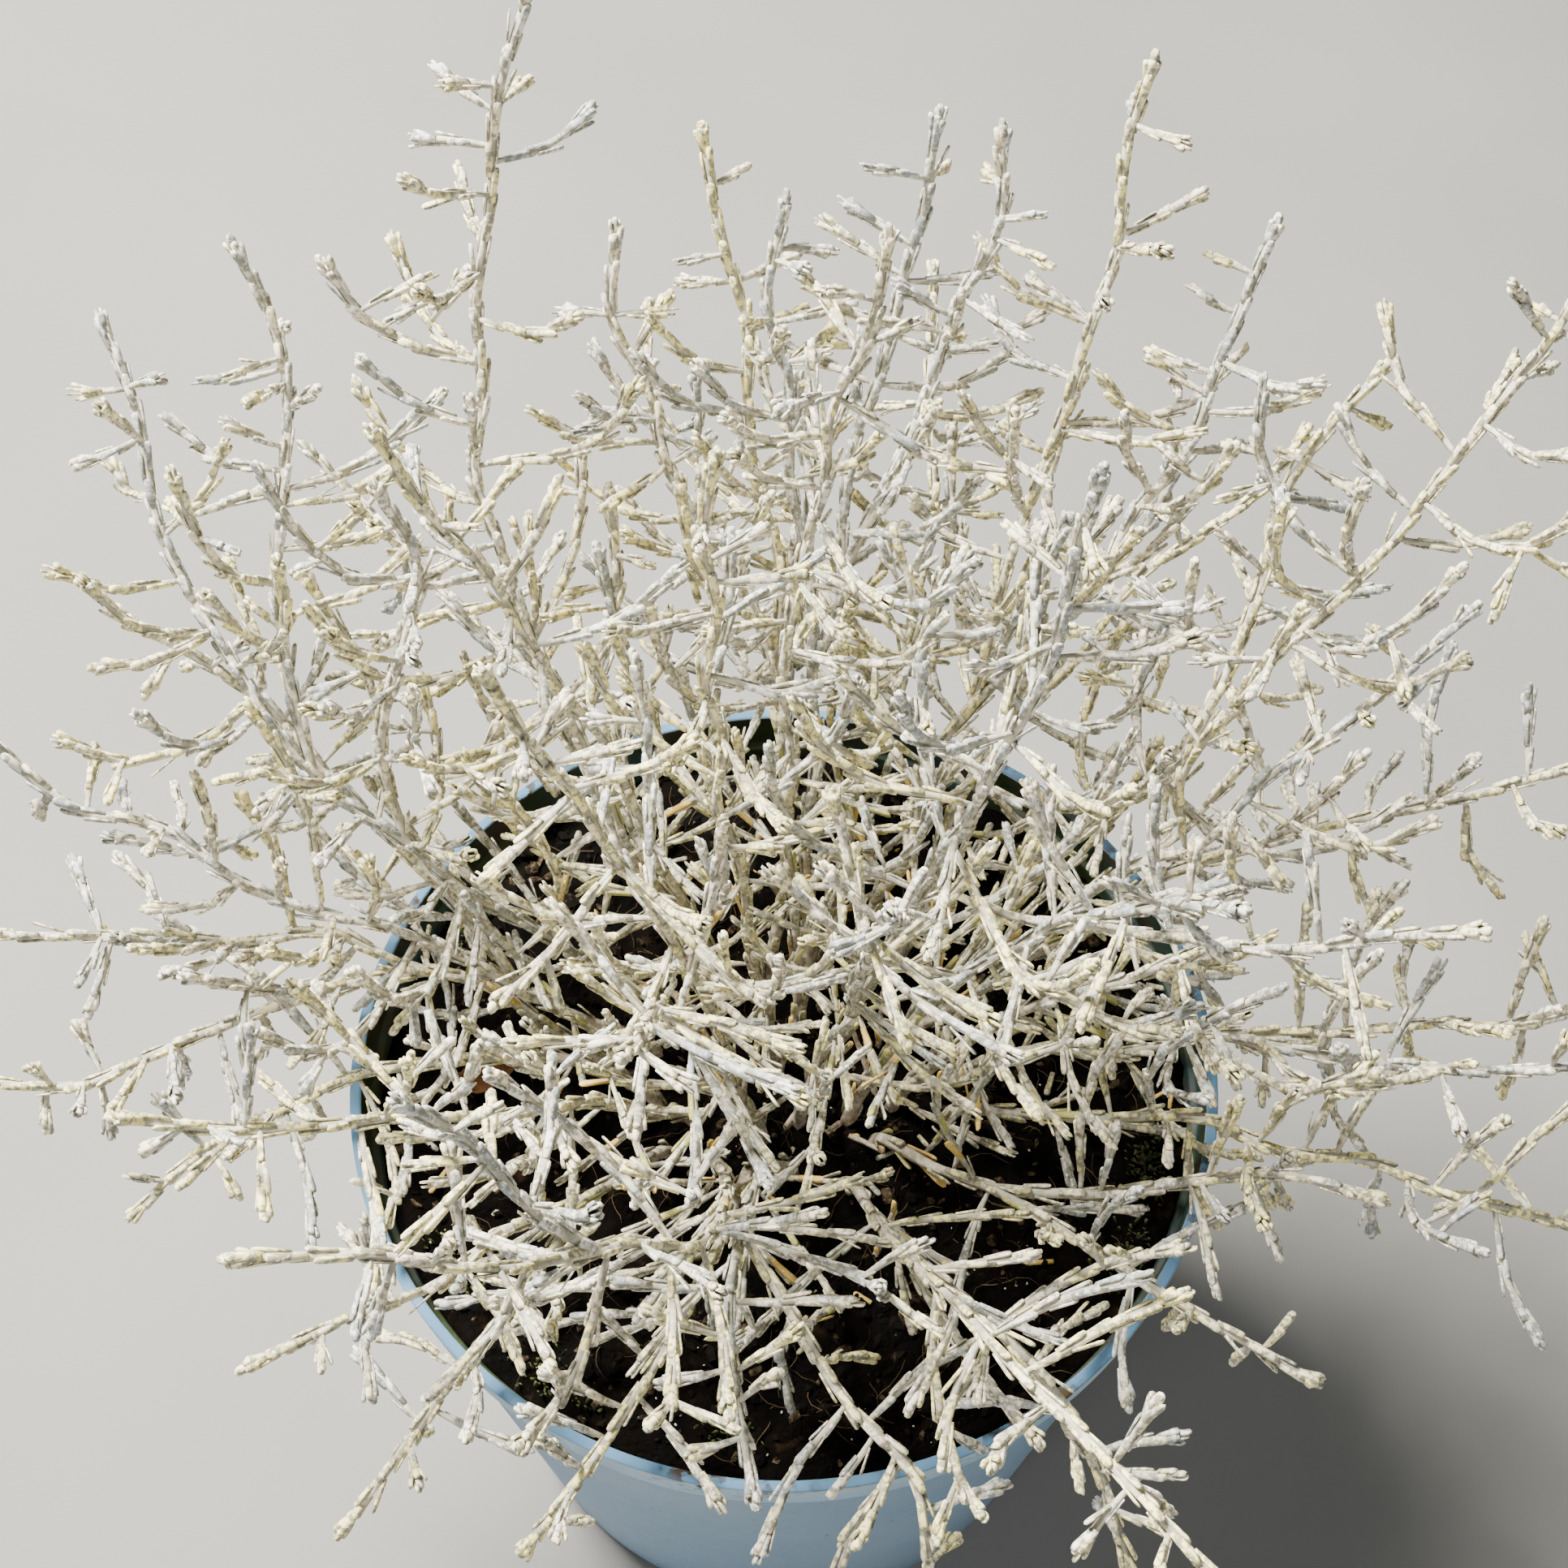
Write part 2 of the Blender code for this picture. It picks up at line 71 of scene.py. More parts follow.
# %% Place the camera
import itertools
import math
import random
from types import SimpleNamespace

import bmesh
import bpy
import numpy as np
from mathutils import Matrix, Vector, noise

MM = 0.001
CAMERA_PLACE = Vector((0, -167, 438)) * MM
CAMERA_PITCH = math.radians(56.5)
CAMERA_LENS = 55.9

camera = bpy.data.objects.new("camera", bpy.data.cameras.new("camera"))
bpy.context.scene.collection.objects.link(camera)
camera.location = CAMERA_PLACE
camera.rotation_euler = (math.pi / 2 - CAMERA_PITCH, 0, 0)
camera.data.lens = CAMERA_LENS
camera.data.clip_start = 10 * MM
bpy.context.scene.camera = camera
print("camera looks down by", round(math.degrees(CAMERA_PITCH), 1), "degrees")

# %% [markdown]
# ## Light
#
# Silver foliage needs light with a direction: with light from everywhere the scales would melt
# into one grey. A strong lamp stands high behind the plant's left shoulder. It draws the bright
# edges and drops the gaps between the twigs into shade. A weak one fills in from the front right,
# a low one from the front left lifts the pot's wall, and the sky is only just on.

# %% Hang the lamps
CROWN = Vector((0, 0, 0.16))
LAMPS = (
    # name, place in metres, side in metres, watts, colour
    ("key_lamp", (-0.45, 0.35, 1.0), 0.3, 80, (1.0, 0.955, 0.865)),
    ("fill_lamp", (0.8, -0.6, 0.8), 0.7, 2.0, (0.90, 0.95, 1.0)),
    ("front_lamp", (-0.5, -0.9, 0.5), 0.6, 4, (1.0, 0.98, 0.95)),
)
SKY_COLOUR = (0.74, 0.84, 1.0, 1)
SKY_STRENGTH = 0.03


def softbox(name, place, size, watts, colour):
    """A square lamp of this size, turned to face the crown of the plant."""
    lamp = bpy.data.lights.new(name, "AREA")
    lamp.size = size
    lamp.energy = watts
    lamp.color = colour
    holder = bpy.data.objects.new(name, lamp)
    bpy.context.scene.collection.objects.link(holder)
    holder.location = place
    holder.rotation_euler = (CROWN - Vector(place)).to_track_quat("-Z", "Y").to_euler()


for lamp in LAMPS:
    softbox(*lamp)

sky = bpy.data.worlds.new("sky")
sky.use_nodes = True
glow = sky.node_tree.nodes["Background"].inputs
glow["Color"].default_value = SKY_COLOUR
glow["Strength"].default_value = SKY_STRENGTH
bpy.context.scene.world = sky

# %% [markdown]
# ## Tools for finishes
#
# A finish is a small network of nodes that ends in one shader. Writing each node out in full
# takes many lines, so these helpers add a node, fill in its sockets and hand back its output.
# A socket is given either a plain value or the output of another node.

# %% Helpers for nodes
def new_finish(name, roughness):
    """A material with a Principled shader, returned with its node tree and that shader."""
    finish = bpy.data.materials.new(name)
    finish.use_nodes = True
    shader = finish.node_tree.nodes["Principled BSDF"]
    shader.inputs["Roughness"].default_value = roughness
    return finish, finish.node_tree, shader


def feed(tree, socket, value):
    if isinstance(value, bpy.types.NodeSocket):
        tree.links.new(value, socket)
    else:
        socket.default_value = value


def add_node(tree, kind, output, inputs, **settings):
    """Add a node, fill its inputs by name or number, and return one of its outputs."""
    made = tree.nodes.new("ShaderNode" + kind)
    for setting, value in settings.items():
        setattr(made, setting, value)
    for socket, value in inputs.items():
        feed(tree, made.inputs[socket], value)
    return made.outputs[output]


print("node helpers ready")

# %% Helpers for patterns
def attribute(tree, name):
    """A number that the mesh stores at each of its points."""
    return add_node(tree, "Attribute", "Fac", {}, attribute_name=name)


def place_on(tree):
    """Where a point of the surface is, in metres."""
    return add_node(tree, "TexCoord", "Object", {})


def speckle(tree, scale, detail=3):
    """Soft noise from 0 to 1, with this many cells to the metre."""
    inputs = {"Vector": place_on(tree), "Scale": scale, "Detail": detail}
    return add_node(tree, "TexNoise", "Fac", inputs)


def ramp(tree, value, *stops):
    """Turn a number into a colour, from stops given as a place and a colour or a grey."""
    made = tree.nodes.new("ShaderNodeValToRGB")
    feed(tree, made.inputs["Fac"], value)
    elements = made.color_ramp.elements
    while len(elements) < len(stops):
        elements.new(1)
    for element, (place, colour) in zip(elements, stops):
        element.position = place
        element.color = (*colour, 1) if isinstance(colour, tuple) else (colour, colour, colour, 1)
    return made.outputs["Color"]


print("pattern helpers ready")

# %% [markdown]
# A finish is laid on like paint: a ground colour, and layers over it that each cover a share of
# it. The share can be a pattern, so a layer may be dirt in specks or felt along an edge.

# %% Helpers for paint
def painted(tree, colour, *layers):
    """A colour with layers over it, each given as its share from 0 to 1 and its colour."""
    for share, layer in layers:
        made = tree.nodes.new("ShaderNodeMix")
        made.data_type = "RGBA"
        feed(tree, made.inputs["Factor"], share)
        for socket, paint in ((made.inputs[6], colour), (made.inputs[7], layer)):
            feed(tree, socket, (*paint, 1) if isinstance(paint, tuple) else paint)
        colour = made.outputs[2]
    return colour


def combined(tree, operation, first, second):
    """Two numbers worked into one, such as by MULTIPLY, ADD or MAXIMUM."""
    return add_node(tree, "Math", 0, {0: first, 1: second}, operation=operation)


def average(tree, first, second):
    return combined(tree, "MULTIPLY", combined(tree, "ADD", first, second), 0.5)


def faded_between(tree, value, low, high):
    """A share that goes from 0 at the low value to 1 at the high one."""
    inputs = {"Value": value, "From Min": low, "From Max": high}
    return add_node(tree, "MapRange", "Result", inputs)


def rough_up(tree, shader, height, depth, strength=1.0):
    """Let a noise stand out from the surface by this depth."""
    inputs = {"Height": height, "Distance": depth, "Strength": strength}
    feed(tree, shader.inputs["Normal"], add_node(tree, "Bump", "Normal", inputs))


print("paint helpers ready")

# %% [markdown]
# ## Floor
#
# The plant stands on a plain pale floor. A flat sheet would show its edge from the side, so the
# floor is turned like a wide bowl that curves up into a backdrop all round, as paper does in a
# studio. It is matte, a little mottled, and paler far out, where less light reaches it. It
# belongs to the stage and not to the object.

# %% Lay the floor
FLOOR_REACH = 1.25
FLAT_RING = 0.9 * FLOOR_REACH
FLOOR_BEND = 0.45
BEND_PARTS = 12
BACKDROP_HEIGHT = 1.4
FLOOR_SIDES = 96
FLOOR_MOTTLE = 9
FLOOR_DARK = (0.195, 0.195, 0.19)
FLOOR_LIGHT = (0.225, 0.225, 0.22)
FAR_GREY = (0.37, 0.37, 0.36)
FAR_FROM = 0.55
FAR_TO = 1.6


def turned(outline, sides):
    """A mesh turned round the Z axis from an outline that starts on it."""
    bm = bmesh.new()
    rings = []
    turns = [k * (2 * math.pi / sides) for k in range(sides)]
    for radius, z in outline:
        spots = [(radius * math.cos(turn), radius * math.sin(turn), z) for turn in turns]
        rings.append([bm.verts.new(spot) for spot in (spots if radius else spots[:1])])
    for low, high in zip(rings, rings[1:]):
        for k in range(sides):
            corners = [low[k % len(low)], low[(k + 1) % len(low)]]
            corners += [high[(k + 1) % len(high)], high[k % len(high)]]
            bm.faces.new(dict.fromkeys(corners))
    bmesh.ops.recalc_face_normals(bm, faces=bm.faces)
    return bm


def put_up(mesh, finishes):
    """Give a mesh its finishes and put it in the scene as an object of the same name."""
    for finish in finishes:
        mesh.materials.append(finish)
    piece = bpy.data.objects.new(mesh.name, mesh)
    bpy.context.scene.collection.objects.link(piece)
    return piece


def show(name, bm, *finishes):
    """Make a smooth-shaded object of a mesh that was built point by point."""
    mesh = bpy.data.meshes.new(name)
    bm.to_mesh(mesh)
    bm.free()
    mesh.shade_smooth()
    return put_up(mesh, finishes)


bowl = [(0, 0), (FLAT_RING, 0)]
for k in range(BEND_PARTS + 1):
    rise = math.pi / 2 * k / BEND_PARTS
    bowl.append((FLOOR_REACH + FLOOR_BEND * math.sin(rise), FLOOR_BEND * (1 - math.cos(rise))))
bowl.append((FLOOR_REACH + FLOOR_BEND, BACKDROP_HEIGHT))
finish, tree, shader = new_finish("pale_floor", 0.75)
grey = ramp(tree, speckle(tree, FLOOR_MOTTLE), (0.3, FLOOR_DARK), (0.7, FLOOR_LIGHT))
reach = add_node(tree, "VectorMath", "Value", {0: place_on(tree)}, operation="LENGTH")
far_out = faded_between(tree, reach, FAR_FROM, FAR_TO)
feed(tree, shader.inputs["Base Color"], painted(tree, grey, (far_out, FAR_GREY)))
floor = show("floor", turned(bowl, FLOOR_SIDES), finish)
floor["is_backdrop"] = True
print("floor:", 2 * FLOOR_REACH, "m of it flat")

# %% [markdown]
# ## Pot
#
# A nursery pot is blown or pressed from thin plastic: a tapered wall, a stiff lip band that
# steps out near the top, and a foot with drain holes. It could be pushed and pulled out of a
# cylinder. Turning one outline round the axis gives all but the holes in one go, and every size
# stays a number that can be changed. The outline has rounded corners and the turn has many
# steps, so that the rim shows no flats. The inside is a finish of its own, because soil and
# green algae stain it and it is painted darker as shade.

# %% Sizes of the pot
POT_HEIGHT = 110 * MM
RIM_RADIUS = 65 * MM
BASE_RADIUS = 49.5 * MM
WALL = 1.0 * MM
LIP_HEIGHT = 8.5 * MM
LIP_STEP = 1.3 * MM
LIP_EDGE = 0.5 * MM
LIP_WALL = 1.2 * MM
LIP_TAPER = 1.0 * MM
RIM_WIDTH = 1.7 * MM
LEDGE_RISE = 1.7 * MM
LEDGE_EDGE = 0.3 * MM
POT_FLOOR = 1.4 * MM
FLOOR_RISE = 2.0 * MM
PAD_RADIUS = 14 * MM
FOOT_WIDTH = 3.5 * MM


def wall_radius(z):
    """Outer radius of the pot's tapered wall at height z."""
    under_lip = RIM_RADIUS - LIP_TAPER - LIP_STEP
    return BASE_RADIUS + (under_lip - BASE_RADIUS) * z / (POT_HEIGHT - LIP_HEIGHT)


lip_foot = POT_HEIGHT - LIP_HEIGHT
ledge = lip_foot + LEDGE_RISE
pad_edge = PAD_RADIUS + FLOOR_RISE
foot_inside = BASE_RADIUS - FOOT_WIDTH
inner_floor = FLOOR_RISE + POT_FLOOR
print("the wall is", round(1000 * wall_radius(lip_foot), 1), "mm from the axis under the lip")

# %% Turn the pot
POT_SIDES = 160
SOFT_CORNER = 0.36 * MM


def rounded(outline, corner, steps=3):
    """Round each corner between an outline's two ends by up to this much, in a few steps."""
    soft = [outline[0]]
    for before, here, after in zip(outline, outline[1:], outline[2:]):
        before, here, after = Vector(before), Vector(here), Vector(after)
        back, on = before - here, after - here
        cut = min(corner, back.length / 2.5, on.length / 2.5)
        start, end = here + back.normalized() * cut, here + on.normalized() * cut
        for k in range(steps + 1):
            t = k / steps
            soft.append(tuple(start * (1 - t) ** 2 + here * 2 * t * (1 - t) + end * t * t))
    soft.append(outline[-1])
    return soft


pot_outline = rounded(
    [
        (0, 0),
        (PAD_RADIUS, 0),
        (pad_edge, FLOOR_RISE),
        (foot_inside - FLOOR_RISE, FLOOR_RISE),
        (foot_inside, 0),
        (BASE_RADIUS, 0),
        (wall_radius(lip_foot), lip_foot),
        (wall_radius(lip_foot) + LIP_STEP, lip_foot + LIP_EDGE),
        (RIM_RADIUS, POT_HEIGHT),
        (RIM_RADIUS - RIM_WIDTH, POT_HEIGHT),
        (wall_radius(lip_foot) + LIP_STEP - LIP_WALL, ledge + LEDGE_EDGE),
        (wall_radius(lip_foot) - WALL, ledge),
        (wall_radius(inner_floor) - WALL, inner_floor),
        (pad_edge, inner_floor),
        (PAD_RADIUS, POT_FLOOR),
        (0, POT_FLOOR),
    ],
    SOFT_CORNER,
)
pot_mesh = turned(pot_outline, POT_SIDES)
print("pot outline:", len(pot_outline), "points,", len(pot_mesh.faces), "faces")

# %% [markdown]
# The drain holes are round, and their edges don't follow the rings of a turned mesh. Fitting
# them in by hand would be slow, so they are cut by six short rods. One Boolean cuts them all,
# and it is applied at once, so that the rods can be thrown away.

# %% Drill the drain holes
DRAIN_HOLES = 6
DRAIN_HOLE_RADIUS = 4.5 * MM
DRAIN_CIRCLE_RADIUS = 31 * MM
ROD_SIDES = 24


def drill(piece, spots, radius, bottom, top):
    """Cut a round hole through the piece at each of these spots."""
    rods = bmesh.new()
    for x, y in spots:
        bmesh.ops.create_cone(
            rods, cap_ends=True, segments=ROD_SIDES, radius1=radius, radius2=radius,
            depth=top - bottom, matrix=Matrix.Translation((x, y, (top + bottom) / 2)),
        )
    cutter = show(piece.name + "_rods", rods)
    cut = piece.modifiers.new("holes", "BOOLEAN")
    cut.operation = "DIFFERENCE"
    cut.object = cutter
    whole = piece.data
    graph = bpy.context.evaluated_depsgraph_get()
    piece.data = bpy.data.meshes.new_from_object(piece.evaluated_get(graph))
    piece.modifiers.clear()
    bpy.data.meshes.remove(whole)
    bpy.data.objects.remove(cutter)


pot = show("blue_pot", pot_mesh)
drain_spots = []
for k in range(DRAIN_HOLES):
    turn = 2 * math.pi * k / DRAIN_HOLES
    drain_spots.append((DRAIN_CIRCLE_RADIUS * math.cos(turn), DRAIN_CIRCLE_RADIUS * math.sin(turn)))
drill(pot, drain_spots, DRAIN_HOLE_RADIUS, FLOOR_RISE - MM, inner_floor + MM)
print("pot:", len(pot.data.polygons), "faces after drilling")

# %% [markdown]
# ## Blue plastic
#
# The plastic is a pale sky blue and nearly matte. The lip is painted paler than the wall, as
# painted light where more light falls on it, and the top of the rim is bluer, with a paler band
# along its edge. Three things keep it from looking new: fine scuffs that only change the gloss,
# cloudy water marks, and dirt, in specks all over and in clots on the lip and at the foot. The
# height over the floor says where the lip, the pale edge band and the clots lie, so no picture
# has to be wrapped round the pot.

# %% Mix the blue plastic
RIM_BLUE = (0.095, 0.20, 0.33)
WALL_BLUE = (0.195, 0.295, 0.41)
LIT_LIP_BLUE = (0.31, 0.46, 0.61)
PALE_RIM_EDGE = (0.40, 0.50, 0.57)
WATER_MARK = (0.36, 0.44, 0.52)
DIRT = (0.055, 0.038, 0.024)
DIRTY_FOOT = 9 * MM
PALE_EDGE_FROM = POT_HEIGHT - 1.3 * MM
PALE_EDGE_TO = POT_HEIGHT - 0.7 * MM
SCUFFED = (0.5, 0.65)  # roughness, from least to most


def height_of(tree):
    """The height over the floor, in metres, at any point of the surface."""
    return add_node(tree, "SeparateXYZ", "Z", {"Vector": place_on(tree)})


def blue_plastic():
    finish, tree, shader = new_finish("blue_plastic", 0.6)
    height = height_of(tree)
    near_rim = faded_between(tree, height, lip_foot - MM, POT_HEIGHT - MM)
    # Painted light: the lip is painted paler, where more light falls on it.
    lit_lip = faded_between(tree, height, lip_foot, lip_foot + MM)
    on_top = faded_between(tree, height, POT_HEIGHT - 0.30 * MM, POT_HEIGHT - 0.1 * MM)
    low_down = ramp(tree, height, (0.0, 0.25), (DIRTY_FOOT, 0.0))
    cloud = ramp(tree, speckle(tree, 22, 4), (0.45, 0.0), (0.75, 0.3))
    # A paler band along the rim's edge, just under its flat top.
    edge = ramp(tree, height, (PALE_EDGE_FROM, 0.0), (PALE_EDGE_TO, 1.0))
    where = ramp(tree, speckle(tree, 75, 3), (0.50, 0.0), (0.62, 1.0))
    clots = ramp(tree, speckle(tree, 520, 5), (0.49, 0.0), (0.57, 1.0))
    specks = ramp(tree, speckle(tree, 1000, 3), (0.69, 0.0), (0.73, 0.8))
    on_rim = combined(tree, "MULTIPLY", combined(tree, "MULTIPLY", where, clots), near_rim)
    on_foot = combined(tree, "MULTIPLY", low_down, clots)
    dirty = combined(tree, "MAXIMUM", combined(tree, "MAXIMUM", on_rim, specks), on_foot)
    layers = (lit_lip, LIT_LIP_BLUE), (cloud, WATER_MARK), (edge, PALE_RIM_EDGE), (on_top, RIM_BLUE)
    colour = painted(tree, WALL_BLUE, *layers, (dirty, DIRT))
    feed(tree, shader.inputs["Base Color"], colour)
    scuffs = ramp(tree, speckle(tree, 420, 5), (0.35, SCUFFED[0]), (0.7, SCUFFED[1]))
    feed(tree, shader.inputs["Roughness"], scuffs)
    shader.inputs["Specular IOR Level"].default_value = 0.07
    rough_up(tree, shader, speckle(tree, 900, 3), 0.02 * MM, 0.3)
    return finish


pot.data.materials.append(blue_plastic())
print("outside of the pot:", pot.data.materials[0].name)

# %% [markdown]
# Inside, the wall is dark from the soil up to the rim: stained by soil and algae, and painted
# darker still as shade. Only a narrow band along the ledge under the lip is paler. Faces picked by
# hand would have to be picked again after a change of size, so the stained and shaded ones are
# found by where they lie and by facing the axis.

# %% Stain and shade the inside
# Painted shade: the inside blue is far darker than the plastic, under the real stains.
SHADED_INSIDE_BLUE = (0.035, 0.075, 0.085)
LEDGE_BLUE = (0.10, 0.25, 0.30)
ALGAE = (0.018, 0.034, 0.008)
STAIN_TOP = POT_HEIGHT - 0.6 * MM
STAIN_REACH = BASE_RADIUS - 4 * MM


def stained_and_shaded_inside():
    finish, tree, shader = new_finish("stained_and_shaded_inside", 0.6)
    smears = ramp(tree, speckle(tree, 150, 5), (0.50, 0.0), (0.66, 0.9))
    green = ramp(tree, speckle(tree, 60, 4), (0.36, 0.15), (0.56, 1.0))
    band = ((ledge - 0.3 * MM, 0.0), (ledge, 0.8), (ledge + 0.3 * MM, 0.0))
    paler_ledge = ramp(tree, height_of(tree), *band)
    layers = (green, ALGAE), (smears, DIRT), (paler_ledge, LEDGE_BLUE)
    feed(tree, shader.inputs["Base Color"], painted(tree, SHADED_INSIDE_BLUE, *layers))
    rough_up(tree, shader, speckle(tree, 700, 4), 0.15 * MM)
    return finish


pot.data.materials.append(stained_and_shaded_inside())
inside_faces = 0
for face in pot.data.polygons:
    reach = math.hypot(face.center.x, face.center.y)
    inward = face.normal.x * face.center.x + face.normal.y * face.center.y < 0
    on_wall = inner_floor < face.center.z < STAIN_TOP and reach > STAIN_REACH
    if inward and on_wall:
        face.material_index = 1
        inside_faces += 1
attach(pot, "root")
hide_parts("pot")
print("stained faces inside the pot:", inside_faces)

# %% [markdown]
# ## Where the stems stand
#
# The bush is a bundle of 32 stems. Each has a leader, a main shoot that runs from the soil to a
# tip at the outside of the mound, and some leaders fork. The table says where each one ends. The
# plain model was grown from the same table by the same rule, so the finer twigs fall in the
# places of the plain ones. A rule was chosen over modelling by hand because it can be grown
# again with more twigs, and always comes out the same.

# %% Table of the leaders
# One row for each leader, read off the plant: its stem, how far along the stem's first leader it
# forks off (0 for that first leader itself), the tip's azimuth in degrees, its reach from the
# pot's axis and its height over the rim in millimetres, the pitch of the last stretch in
# degrees over level, and how far it bows sideways in millimetres.
LEADERS = (
    # the tall ones at the back, from left to right
    (1, 0, 111, 90, 128, 75, 26),
    (2, 0, 97, 90, 100, 60, -6),
    (2, 0.5, 106, 84, 90, 55, 4),
    (3, 0, 80, 92, 102, 65, 6),
    (3, 0.5, 90, 84, 92, 60, 4),
    (3, 0.6, 71, 90, 104, 60, -4),
    (4, 0, 61, 99, 114, 70, -6),
    (4, 0.45, 50, 104, 92, 55, -6),
    (5, 0, 32, 124, 108, 65, -10),
    (5, 0.5, 39, 106, 78, 50, 6),
    # the crown
    (6, 0, 7, 34, 128, 85, -6),
    (7, 0, 114, 20, 114, 85, 5),
    (8, 0, 195, 34, 110, 70, 8),
    (9, 0, 290, 34, 98, 65, 6),
    (10, 0, 150, 56, 108, 65, -6),
    (11, 0, 76, 52, 118, 75, 8),
    (12, 0, 250, 50, 94, 50, -8),
    (13, 0, 330, 58, 94, 50, 8),
    # the left side
    (14, 0, 144, 114, 87, 40, 28),
    (14, 0.6, 135, 104, 94, 60, -4),
    (14, 0.5, 146, 62, 90, 60, -4),
    (15, 0, 170, 108, 56, 30, 8),
    (15, 0.4, 158, 98, 62, 40, -6),
    (16, 0, 177, 113, 28, 15, -8),
    (16, 0.5, 184, 116, 10, 5, 4),
    (17, 0, 192, 98, -8, -40, -6),
    (18, 0, 205, 88, 58, 30, 8),
    # the front, where short sprays hang over the rim
    (19, 0, 226, 86, 74, 25, 30),
    (19, 0.7, 232, 66, 92, 55, 0),
    (20, 0, 218, 88, 20, 0, 6),
    (20, 0.5, 228, 90, -8, -30, 4),
    (21, 0, 244, 79, -4, -70, 6),
    (22, 0, 264, 74, 30, 0, -8),
    (22, 0.6, 284, 80, -8, -70, 6),
    (23, 0, 300, 102, 40, -20, -8),
    (23, 0.5, 303, 86, -8, -45, 4),
    (24, 0, 325, 88, 4, -20, -6),
    (24, 0.5, 341, 86, 14, 10, 4),
    # the right side, where the longest sprays lie out past the pot
    (25, 0, 350, 132, -16, -30, -8),
    (26, 0, 3, 132, 10, 10, -8),
    (26, 0.5, 355, 114, 18, 20, 6),
    (27, 0, 12, 126, 46, 35, 8),
    (28, 0, 348, 86, 70, 45, 6),
    (29, 0, 20, 98, 66, 40, -8),
    # low at the back
    (30, 0, 48, 122, 38, 30, 8),
    (31, 0, 78, 112, 54, 40, -8),
    (31, 0.5, 101, 114, 44, 35, 8),
    (32, 0, 130, 116, 36, 30, -6),
)
print("leaders:", len(LEADERS), "on", len({row[0] for row in LEADERS}), "stems")

# %% [markdown]
# The roots come first. Each stem stands under the way it leans, and where two would stand too
# close they push each other apart, as crowded stems do.

# %% Place the roots
SOIL_BELOW_RIM = 8 * MM
BED_Z = POT_HEIGHT - SOIL_BELOW_RIM
ROOT_SPACING = 6.4 * MM
ROOT_SPREAD = 0.2
ROOT_PUSHES = 60


def polar(azimuth, reach, z):
    turn = math.radians(azimuth)
    return Vector((reach * math.cos(turn), reach * math.sin(turn), z))


def place_roots():
    """A root for each stem, under the way it leans, with the crowded ones pushed apart."""
    roots = {}
    for stem, fork_at, azimuth, reach, *_ in LEADERS:
        if not fork_at:
            roots[stem] = polar(azimuth, reach * MM * ROOT_SPREAD, BED_Z)
    for _ in range(ROOT_PUSHES):
        for one, other in itertools.combinations(roots.values(), 2):
            apart = other - one
            push = (ROOT_SPACING - apart.length) / 2
            if push > 0:
                one -= apart.normalized() * push
                other += apart.normalized() * push
    return roots


roots = place_roots()
print("stems rooted:", len(roots))

# %% [markdown]
# Twigs never run through each other, so each new one has to know where the others are. The
# thicket keeps points along every twig in a grid of small cells. To test a path, only the cells
# round its points are looked at, which is far quicker than measuring to every twig.

# %% Keep track of the room that is taken
SOIL_RELIEF = 0.8 * MM
TWIG_CLEARANCE = 0.6 * MM
POT_CLEARANCE = 1 * MM
SAMPLE = 1.2 * MM
CELL = 5 * MM


def pot_is_clear(point, radius):
    """True where a twig of this radius keeps off the soil, the wall and the rim."""
    room = radius + POT_CLEARANCE
    reach = math.hypot(point.x, point.y)
    if point.z > POT_HEIGHT + room:
        return True
    if reach < wall_radius(BED_Z) - WALL - room:
        return point.z > BED_Z + 2 * SOIL_RELIEF + room
    return reach > RIM_RADIUS + room


class Thicket:
    """Where twigs already run, so that a new one can be bent clear or left out."""

    def __init__(self):
        self.cells = {}

    def samples(self, knots):
        """Points every millimetre or so along a path, each with its radius and distance."""
        travelled = 0
        for (start, start_radius), (end, end_radius) in zip(knots, knots[1:]):
            length = (end - start).length
            count = max(1, math.ceil(length / SAMPLE))
            for k in range(1, count + 1):
                part = k / count
                radius = start_radius + (end_radius - start_radius) * part
                yield start.lerp(end, part), radius, travelled + length * part
            travelled += length

    def key(self, point):
        return tuple(math.floor(value / CELL) for value in point)

    def add(self, knots, owner):
        for point, radius, _ in self.samples(knots):
            self.cells.setdefault(self.key(point), []).append((point, radius, owner))

    def is_clear(self, knots, owner, own_reach):
        """True where a path meets neither the pot, the soil nor another twig. It may still lie
        near its own stem over its first stretch, own_reach long."""
        for point, radius, distance in self.samples(knots):
            if distance > own_reach and not pot_is_clear(point, radius):
                return False
            for shift in itertools.product((-CELL, 0, CELL), repeat=3):
                cell = self.key(point + Vector(shift))
                for other, other_radius, other_owner in self.cells.get(cell, ()):
                    if other_owner == owner and distance < own_reach:
                        continue
                    if (point - other).length < radius + other_radius + TWIG_CLEARANCE:
                        return False
        return True


thicket = Thicket()
print("an empty thicket, with cells of", round(1000 * CELL), "mm")

# %% [markdown]
# A path is a list of knots, each a point and a radius. Two measures of it are needed again and
# again: how long it is, and where a point at some distance along it lies.

# %% Measure along a path
UP = Vector((0, 0, 1))


def along(knots, distance):
    """The point and the heading at a distance along a path."""
    for (start, _), (end, _) in zip(knots, knots[1:]):
        length = (end - start).length
        if distance <= length:
            return start.lerp(end, distance / length), (end - start).normalized()
        distance -= length
    return knots[-1][0], (knots[-1][0] - knots[-2][0]).normalized()


def path_length(knots):
    return sum((end[0] - start[0]).length for start, end in zip(knots, knots[1:]))


print("1 m along a path that runs straight up:", along([(Vector(), 0), (2 * UP, 0)], 1)[0][:])

# %% [markdown]
# A leader rises out of the soil and swings out to its tip along one smooth arch, with small
# kinks at its joints. The arch is a Bezier curve: two handles set how it leaves and arrives.

